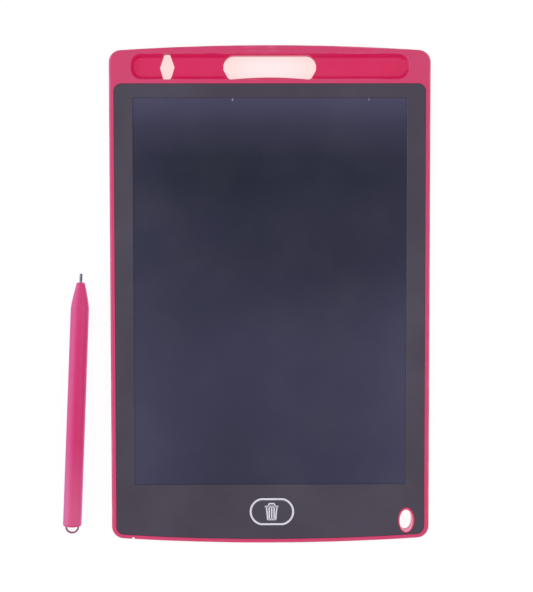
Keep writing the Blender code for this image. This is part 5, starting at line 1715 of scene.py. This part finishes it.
def pen_nose():
    """The nose cone with its spigot and the bore for the tip."""
    spigot_end = nose_end + SPIGOT_LENGTH
    seat = COLLAR_RADIUS + SEAM_GAP
    seat_start = tip_end - COLLAR_LENGTH - SEAM_GAP
    inner = TIP_RADIUS + SEAM_GAP
    profile = nose_curve() + [(spigot, nose_end + SEAM_SHUT), (spigot, spigot_end), (seat, spigot_end),
                              (seat, seat_start), (inner, seat_start), (inner, TIP_EXPOSED)]
    return lay_down(turned("pen_nose", profile, pen_pink_painted_sheen, closed=True))


dress(pen_nose(), pen_pink_painted_sheen, "stylus_pink", "stylus", "stylus_nose")

# %% Barrel
def front_corner(radius, height, edge):
    """A rounded corner of a profile where it turns from a face that looks down to the side."""
    return [(radius - edge + edge * math.sin(a), height + edge - edge * math.cos(a))
            for a in quarter_turn()]


def rear_corner(radius, height, edge):
    """A rounded corner of a profile where it turns from the side to a face that looks up."""
    return [(radius - edge + edge * math.cos(a), height - edge + edge * math.sin(a))
            for a in quarter_turn()]


def pen_barrel():
    """The hollow barrel, a little thicker at the rear."""
    profile = [(bore, barrel_start)] + front_corner(FRONT_RADIUS, barrel_start, BARREL_EDGE / 2)
    profile += rear_corner(REAR_RADIUS, barrel_end, BARREL_EDGE) + [(bore, barrel_end)]
    return lay_down(turned("pen_barrel", profile, pen_pink_painted_sheen, closed=True))


dress(pen_barrel(), pen_pink_painted_sheen, "stylus_pink", "stylus", "stylus_barrel")

# %% End plug with its loop
PLUG_DEPTH = 0.0050
PLUG_STEP = 0.00012
LOOP_RADIUS = 0.0028
LOOP_STAND = 0.0011
LOOP_WIRE = 0.00085
LOOP_STEPS = 36
LOOP_SHADE = 0.0004


def loop_pattern(tree, grain):
    """The plug's rim in the stylus's pink, the loop below it painted crimson as painted shade."""
    rim_y = TIP_PLACE[1] - (rim_start + PLUG_RIM) * math.cos(STYLUS_LEAN)
    return remap(tree, axes_of(tree)["Y"], rim_y, rim_y - LOOP_SHADE), grain["Height"]


# The plug and its loop are the same pink plastic; the crimson second colour is painted shade on the
# loop.
loop_crimson = finish("plug_pink_painted_shade_loop", seen(202, 70, 118), seen(146, 58, 92), (0.36, 0.48),
                      wear=(0.10, PALE_PINK), dust=0.03, pattern=loop_pattern)


def pen_plug():
    """The end plug with its cord loop, a bent wire on two short legs."""
    rim_end = rim_start + PLUG_RIM
    plug_start = barrel_end - PLUG_DEPTH
    radius = REAR_RADIUS - PLUG_STEP
    profile = [(0, plug_start), (spigot, plug_start), (spigot, rim_start), (radius, rim_start)]
    profile += rear_corner(radius, rim_end, BARREL_EDGE) + [(0, rim_end)]
    plug_body = turned("plug_body", profile, loop_crimson)
    arch = [(x, 0, rim_start + y) for x, y in arc(0, LOOP_STAND, LOOP_RADIUS, 0, math.pi, LOOP_STEPS)]
    legs = [(LOOP_RADIUS, 0, rim_start)] + arch + [(-LOOP_RADIUS, 0, rim_start)]
    path = path_object("plug_loop", legs, closed=False)
    loop = grow_by(path, WIRE, loop_crimson, Radius=LOOP_WIRE / 2, Sides=WIRE_SIDES)
    return lay_down(join_pieces("pen_plug", [plug_body, loop]))


dress(pen_plug(), loop_crimson, "loop_crimson", "stylus", "stylus_end_plug")

# %% [markdown]
# ## Finishes of the inner parts
# Nothing inside shows until the battery cover or the shells come off, but a part that someone
# reuses may be opened, so each inner node gets the finish of its real stuff: copper runs under
# green solder mask, tinned ends on a ceramic capacitor, brushed strips, rolled bronze. Nothing
# rubs these parts and no dust reaches them, so one short function leaves both out.
# %% Metals of the inner parts
def clean_finish(name, colour, second, rough, **settings):
    """A finish for a part that nothing rubs and no dust reaches."""
    return finish(name, colour, second, rough, wear=(0.0, None), dust=0.0, **settings)


def brushed(tree, grain):
    """Fine lines along X, as on rolled and brushed strip."""
    stretch = node(tree, "ShaderNodeMapping")
    feed(tree, stretch, Vector=place_of(tree), Scale=(0.02, 1.0, 1.0))
    lines = noise(tree, 9000.0, 2.0, stretch.outputs[0])
    return lines, lines


def turned_marks(tree, grain):
    """Rings round the coin cell's middle."""
    rings = rings_about(tree, cell_x, cell_y, 2400.0, 1.0)
    return product(tree, rings, 0.6), rings


bare_steel = clean_finish("coin_cell_steel", seen(198, 198, 200), seen(168, 168, 172), (0.20, 0.34),
                          depth=0.000006, metallic=1.0, pattern=turned_marks)
nickel = clean_finish("nickel_strip", seen(200, 196, 186), seen(170, 166, 156), (0.24, 0.40),
                      depth=0.000006, metallic=1.0, pattern=brushed)
bronze = clean_finish("phosphor_bronze", seen(194, 150, 98), seen(166, 120, 72), (0.26, 0.40),
                      depth=0.000006, metallic=1.0, pattern=brushed)
print("finishes:", bare_steel.name, nickel.name, bronze.name)

# %% Patterns of board, tail and chips
RUN_EDGE = (0.45, 0.60)
SOLDER_FADE = 0.00005
TIN = seen(188, 188, 186)


def copper_runs(tree, grain):
    """Copper runs that stand up a little under the solder mask."""
    bricks = node(tree, "ShaderNodeTexBrick", offset=0.35)
    feed(tree, bricks, Vector=place_of(tree), Scale=160.0, Mortar_Size=0.035, Mortar_Smooth=0.15,
         Brick_Width=0.9, Row_Height=0.24)
    return bricks.outputs["Fac"], bricks.outputs["Fac"]


def printed_runs(tree, grain):
    """Parallel copper runs along the flex tail."""
    runs = node(tree, "ShaderNodeTexWave", wave_type="BANDS", bands_direction="X")
    feed(tree, runs, Vector=place_of(tree), Scale=260.0)
    flat = remap(tree, runs.outputs["Fac"], *RUN_EDGE)
    return flat, flat


def pressed_powder(tree, grain):
    """The speckle of pressed ferrite or ceramic."""
    cells = node(tree, "ShaderNodeTexVoronoi", feature="F1")
    feed(tree, cells, Vector=place_of(tree), Scale=6000.0)
    return cells.outputs["Distance"], cells.outputs["Distance"]


def crystal_domains(tree, grain):
    """The fine domains of the liquid crystal."""
    cells = node(tree, "ShaderNodeTexVoronoi", feature="SMOOTH_F1")
    feed(tree, cells, Vector=place_of(tree), Scale=1500.0)
    return product(tree, cells.outputs["Distance"], grain["Drift"]), cells.outputs["Distance"]


def tinned_ends(node_name, share):
    """A pattern that turns to solder at both ends of a chip part."""
    low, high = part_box(node_name)
    edge = (high.x - low.x) / 2 * share

    def pattern(tree, grain):
        from_middle = combine(tree, "SUBTRACT", axes_of(tree)["X"], (low.x + high.x) / 2)
        from_middle = combine(tree, "ABSOLUTE", from_middle)
        return remap(tree, from_middle, edge, edge + SOLDER_FADE), grain["Height"]
    return pattern


def capacitor(node_name, share):
    """Ceramic body with tinned ends, fitted to its node."""
    return clean_finish(node_name + "_ceramic", seen(176, 150, 116), TIN, (0.30, 0.50),
                        pattern=tinned_ends(node_name, share))


print("inner patterns ready")

# %% A finish for every CAD node
node_finishes = {
    "liquid_crystal_layer": clean_finish("liquid_crystal", seen(52, 48, 72), seen(84, 78, 112),
                                         (0.25, 0.40), depth=0.000003, pattern=crystal_domains),
    "rear_film": clean_finish("rear_film_clear", seen(74, 70, 88), seen(66, 62, 80), (0.20, 0.30),
                              depth=0.000003),
    "light_absorber_sheet": clean_finish("absorber_black", seen(22, 21, 26), seen(30, 28, 33),
                                         (0.70, 0.90), depth=0.00001),
    "mask_tape": clean_finish("double_sided_tape", seen(122, 120, 118), seen(104, 102, 100),
                              (0.60, 0.80), grain=(1200.0, 80.0)),
    "coin_cell_gasket": clean_finish("cell_gasket", seen(152, 152, 148), seen(134, 134, 130),
                                     (0.50, 0.65)),
    "circuit_board": clean_finish("solder_mask_green", seen(24, 84, 54), seen(46, 116, 74),
                                  (0.28, 0.42), depth=0.00003, pattern=copper_runs),
    "driver_chip": finish("chip_epoxy", seen(32, 32, 34), seen(42, 42, 44), (0.45, 0.60),
                          grain=(5000.0, 300.0), wear=(0.3, seen(70, 70, 72)), dust=0.0),
    "rectifier_diode": clean_finish("diode_epoxy", seen(34, 33, 35), TIN, (0.40, 0.55),
                                    pattern=tinned_ends("rectifier_diode", 0.8)),
    "boost_inductor": clean_finish("ferrite_grey", seen(84, 82, 82), seen(62, 60, 60), (0.50, 0.70),
                                   pattern=pressed_powder),
    "storage_capacitor": capacitor("storage_capacitor", 0.70),
    "filter_capacitor": capacitor("filter_capacitor", 0.66),
    "display_flex_tail": clean_finish("flex_amber", seen(176, 106, 40), seen(196, 128, 72),
                                      (0.25, 0.38), pattern=printed_runs),
}
shared_finishes = (
    (shell_pink_painted_shade_and_light, "front_frame"),
    (back_pink_painted_light, "rear_cover", "battery_cover"),
    (mask_black, "mask_film"),
    (window_film_painted_reflection, "writing_film"),
    (key_black, "erase_key"),
    (knob_black, "lock_knob"),
    (steel, "cover_screw"),
    (tip_steel, "stylus_tip"),
    (pen_pink_painted_sheen, "stylus_nose", "stylus_barrel"),
    (loop_crimson, "stylus_end_plug"),
    (bare_steel, "snap_dome", "coin_cell_can", "coin_cell_cap"),
    (nickel, "negative_contact", "positive_contact"),
    (bronze, "lock_wiper"),
)
for material, *names in shared_finishes:
    node_finishes.update(dict.fromkeys(names, material))
for name, cad_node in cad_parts.items():
    for slot in cad_node.material_slots:
        slot.material = node_finishes[name]
print(f"{len(node_finishes)} of {len(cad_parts)} nodes have a finish")

# %% [markdown]
# ## Snap dome
# Under the key sits a thin steel dome that gives way with a click. The dome is turned again as a
# piece of its own, with a mesh of its own, and rides on the tablet.
# %% Sprung dome
DOME_THICKNESS = 0.00008
DOME_STEPS = 10
dome_low, dome_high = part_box("snap_dome")


def sprung_dome():
    """A thin disc bulged upwards over the board's contact."""
    radius = (dome_high.x - dome_low.x) / 2
    crown = dome_high.z - dome_low.z - DOME_THICKNESS
    shares = [step / DOME_STEPS for step in range(DOME_STEPS + 1)]
    outer = [(share * radius, DOME_THICKNESS + crown * (1 - share * share)) for share in shares]
    inner = [(share * radius, crown * (1 - share * share)) for share in reversed(shares)]
    dome = turned("sprung_dome", outer + inner, nickel)
    dome.data.transform(Matrix.Translation((key_x, key_y, dome_low.z)))
    return dome


dome = sprung_dome()
dress(dome, nickel, "steel", "tablet", "snap_dome")
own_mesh(dome)

# %% [markdown]
# ## Studio
# The tablet lies on a white light table. The floor is a pale matt surface that glows a little to
# the camera and to reflections, so the background is white while the lamps stay soft and the
# shadows stay. The paper under the head has painted pink light, standing for the light that passes
# through the thin pink head, and it shows in the two openings. A large lamp stands left of the
# tablet, a weaker one right, and a third below the table lights the back when the camera looks
# from under it. A blue screen on the left shows in the glossy faces alone and gives their edges a
# cool sheen.
# %% Painted pink light on the paper
# Painted pink light on the paper under the head: its colour, its least share, its size and its fade.
PAINTED_PINK_LIGHT = seen(255, 221, 220)
PAINTED_PINK_LIGHT_LEAST = 0.60
PAINTED_PINK_LIGHT_HALF_WIDTH = 0.022
PAINTED_PINK_LIGHT_HALF_HEIGHT = 0.0066
PAINTED_PINK_LIGHT_FADE = 0.0012
PAINTED_PINK_LIGHT_REACH = 0.052


def painted_pink_light_under_the_head(tree):
    """A mask of painted pink light on the paper under the head, least in the middle of the opening."""
    axes = axes_of(tree)
    from_groove = combine(tree, "SUBTRACT", axes["Y"], groove_y)
    aside = combine(tree, "POWER", combine(tree, "DIVIDE", axes["X"], PAINTED_PINK_LIGHT_HALF_WIDTH), 2.0)
    along = combine(tree, "POWER", combine(tree, "DIVIDE", from_groove, PAINTED_PINK_LIGHT_HALF_HEIGHT), 2.0)
    rising = remap(tree, combine(tree, "ADD", aside, along), 0.0, 1.0, PAINTED_PINK_LIGHT_LEAST, 1.0)
    top = remap(tree, axes["Y"], groove_top, groove_top + PAINTED_PINK_LIGHT_FADE, 1.0, 0.0)
    foot = remap(tree, axes["Y"], groove_foot - PAINTED_PINK_LIGHT_FADE, groove_foot)
    from_middle = combine(tree, "ABSOLUTE", axes["X"])
    ends = remap(tree, from_middle, PAINTED_PINK_LIGHT_REACH - PAINTED_PINK_LIGHT_FADE, PAINTED_PINK_LIGHT_REACH, 1.0, 0.0)
    return product(tree, rising, top, foot, ends)


print(f"blush {2000 * PAINTED_PINK_LIGHT_REACH:.0f} mm long under the groove")

# %% Light table
FLOOR_HALF = 8.0
FLOOR_LEVEL = -0.0001
FLOOR_GLOW = 0.90
GLOW_STRENGTH = 1.02
FIBRE_SCALE = 400.0
FIBRE_SPAN = (0.3, 0.7)
WHITE = (1.0, 1.0, 1.0, 1.0)


def light_path(tree, *outputs):
    """One where any of the named Light Path outputs is one, else nothing."""
    path = node(tree, "ShaderNodeLightPath")
    total = path.outputs[outputs[0]]
    for output in outputs[1:]:
        total = combine(tree, "MAXIMUM", total, path.outputs[output])
    return total


def mix_shaders(tree, share, first, second):
    """Two shaders mixed by a share."""
    mix = node(tree, "ShaderNodeMixShader")
    for socket, source in zip(mix.inputs, (share, first, second)):
        tree.links.new(source, socket)
    return mix.outputs[0]


def table_surface():
    """Pale matt paper that glows to the camera and in reflections, and isn't seen from below."""
    material = bpy.data.materials.new("light_table_paper")
    material.use_nodes = True
    tree = material.node_tree
    paper = tree.nodes["Principled BSDF"]
    fibre = remap(tree, noise(tree, FIBRE_SCALE, detail=3.0), *FIBRE_SPAN)
    tint = blend_by(tree, fibre, seen(246, 245, 245), seen(240, 239, 239))
    feed(tree, paper, Base_Color=tint, Roughness=0.9)
    paper.inputs["Specular IOR Level"].default_value = 0.0
    # the glow's colour carries the painted pink light under the head
    glow = feed(tree, node(tree, "ShaderNodeEmission"), Strength=GLOW_STRENGTH,
                Color=blend_by(tree, painted_pink_light_under_the_head(tree), WHITE, PAINTED_PINK_LIGHT))
    seen_by = light_path(tree, "Is Camera Ray", "Is Glossy Ray", "Is Transmission Ray")
    lit = mix_shaders(tree, product(tree, seen_by, FLOOR_GLOW), paper.outputs[0], glow.outputs[0])
    clear = node(tree, "ShaderNodeBsdfTransparent")
    from_below = node(tree, "ShaderNodeNewGeometry").outputs["Backfacing"]
    one_sided = mix_shaders(tree, from_below, lit, clear.outputs[0])
    tree.links.new(one_sided, tree.nodes["Material Output"].inputs["Surface"])
    return material


def light_table():
    """The table top as a single face, marked as stage."""
    builder = bmesh.new()
    corners = [(-FLOOR_HALF, -FLOOR_HALF), (FLOOR_HALF, -FLOOR_HALF), (FLOOR_HALF, FLOOR_HALF),
               (-FLOOR_HALF, FLOOR_HALF)]
    builder.faces.new([builder.verts.new((x, y, FLOOR_LEVEL)) for x, y in corners])
    mesh = bpy.data.meshes.new("light_table")
    builder.to_mesh(mesh)
    builder.free()
    table = bpy.data.objects.new("light_table", mesh)
    bpy.context.scene.collection.objects.link(table)
    mesh.materials.append(table_surface())
    table.visible_shadow = False
    table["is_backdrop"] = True


light_table()
print(f"table at {1000 * FLOOR_LEVEL:.1f} mm")

# %% White room
ROOM_LEVEL = 0.85
HORIZON = 0.02


def white_room():
    """A world that is white to the camera and a soft grey light from above for everything else."""
    world = bpy.data.worlds.new("white_room")
    bpy.context.scene.world = world
    world.use_nodes = True
    tree = world.node_tree
    room = tree.nodes["Background"]
    upper = remap(tree, axes_of(tree, "Generated")["Z"], -HORIZON, HORIZON, 0.0, ROOM_LEVEL)
    level = combine(tree, "MAXIMUM", upper, light_path(tree, "Is Camera Ray", "Is Glossy Ray"))
    feed(tree, room, Color=WHITE, Strength=level)


white_room()
print(f"room light from above {ROOM_LEVEL:.2f}")

# %% Lamps
LAMPS = {
    "left_softbox": ((-0.90, 0.10, 0.80), 1.20, 3.6),
    "right_softbox": ((0.90, -0.10, 0.80), 1.00, 2.9),
    "under_table": ((0.0, 0.0, -0.80), 0.90, 8.0),
    "cool_screen": ((-0.75, 0.0, 0.30), 0.9, 10.0),
}
COOL_BLUE = (0.28, 0.62, 0.95)


def softbox(name, place, size, watts):
    """A large square lamp that the camera doesn't see, turned to the middle of the tablet."""
    light = bpy.data.lights.new(name, "AREA")
    light.size = size
    light.energy = watts
    lamp = bpy.data.objects.new(name, light)
    bpy.context.scene.collection.objects.link(lamp)
    lamp.location = place
    lamp.rotation_euler = lamp.location.to_track_quat("Z", "Y").to_euler()
    lamp.visible_camera = False
    return lamp


lamps = {name: softbox(name, *settings) for name, settings in LAMPS.items()}
lamps["cool_screen"].data.color = COOL_BLUE
lamps["cool_screen"].visible_diffuse = False
print("lamps:", ", ".join(lamps))

# %% Camera
CAMERA_PLACE = (-0.00373, 0.01638, 0.44969)
CAMERA_TURN = (-2.095, -0.273, -0.081)
NEAR_CLIP = 0.01
SENSOR = 36.0
FOCAL_PIXELS = 982.2
PHOTO_HEIGHT = 592

lens = bpy.data.cameras.new("photo_camera")
lens.sensor_width = SENSOR
lens.lens = FOCAL_PIXELS * SENSOR / PHOTO_HEIGHT
lens.clip_start = NEAR_CLIP
camera = bpy.data.objects.new("photo_camera", lens)
bpy.context.scene.collection.objects.link(camera)
camera.location = CAMERA_PLACE
camera.rotation_euler = [math.radians(angle) for angle in CAMERA_TURN]
bpy.context.scene.camera = camera
bpy.context.scene.view_settings.view_transform = "Standard"
print(f"lens {lens.lens:.2f} mm at {1000 * CAMERA_PLACE[2]:.0f} mm above the table")

# %% [markdown]
# ## Sizes of frame and dressed model
# The CAD frame's box and the dressed model's box are printed side by side. The dressed model
# may not outgrow the CAD frame.
# %% Sizes of frame and dressed model
low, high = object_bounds()
for axis, a, b, c, d in zip("xyz", cad_low, low, cad_high, high):
    print(f"{axis}: frame {1000 * a:.2f} to {1000 * c:.2f}, dressed {1000 * b:.2f} to {1000 * d:.2f} mm")
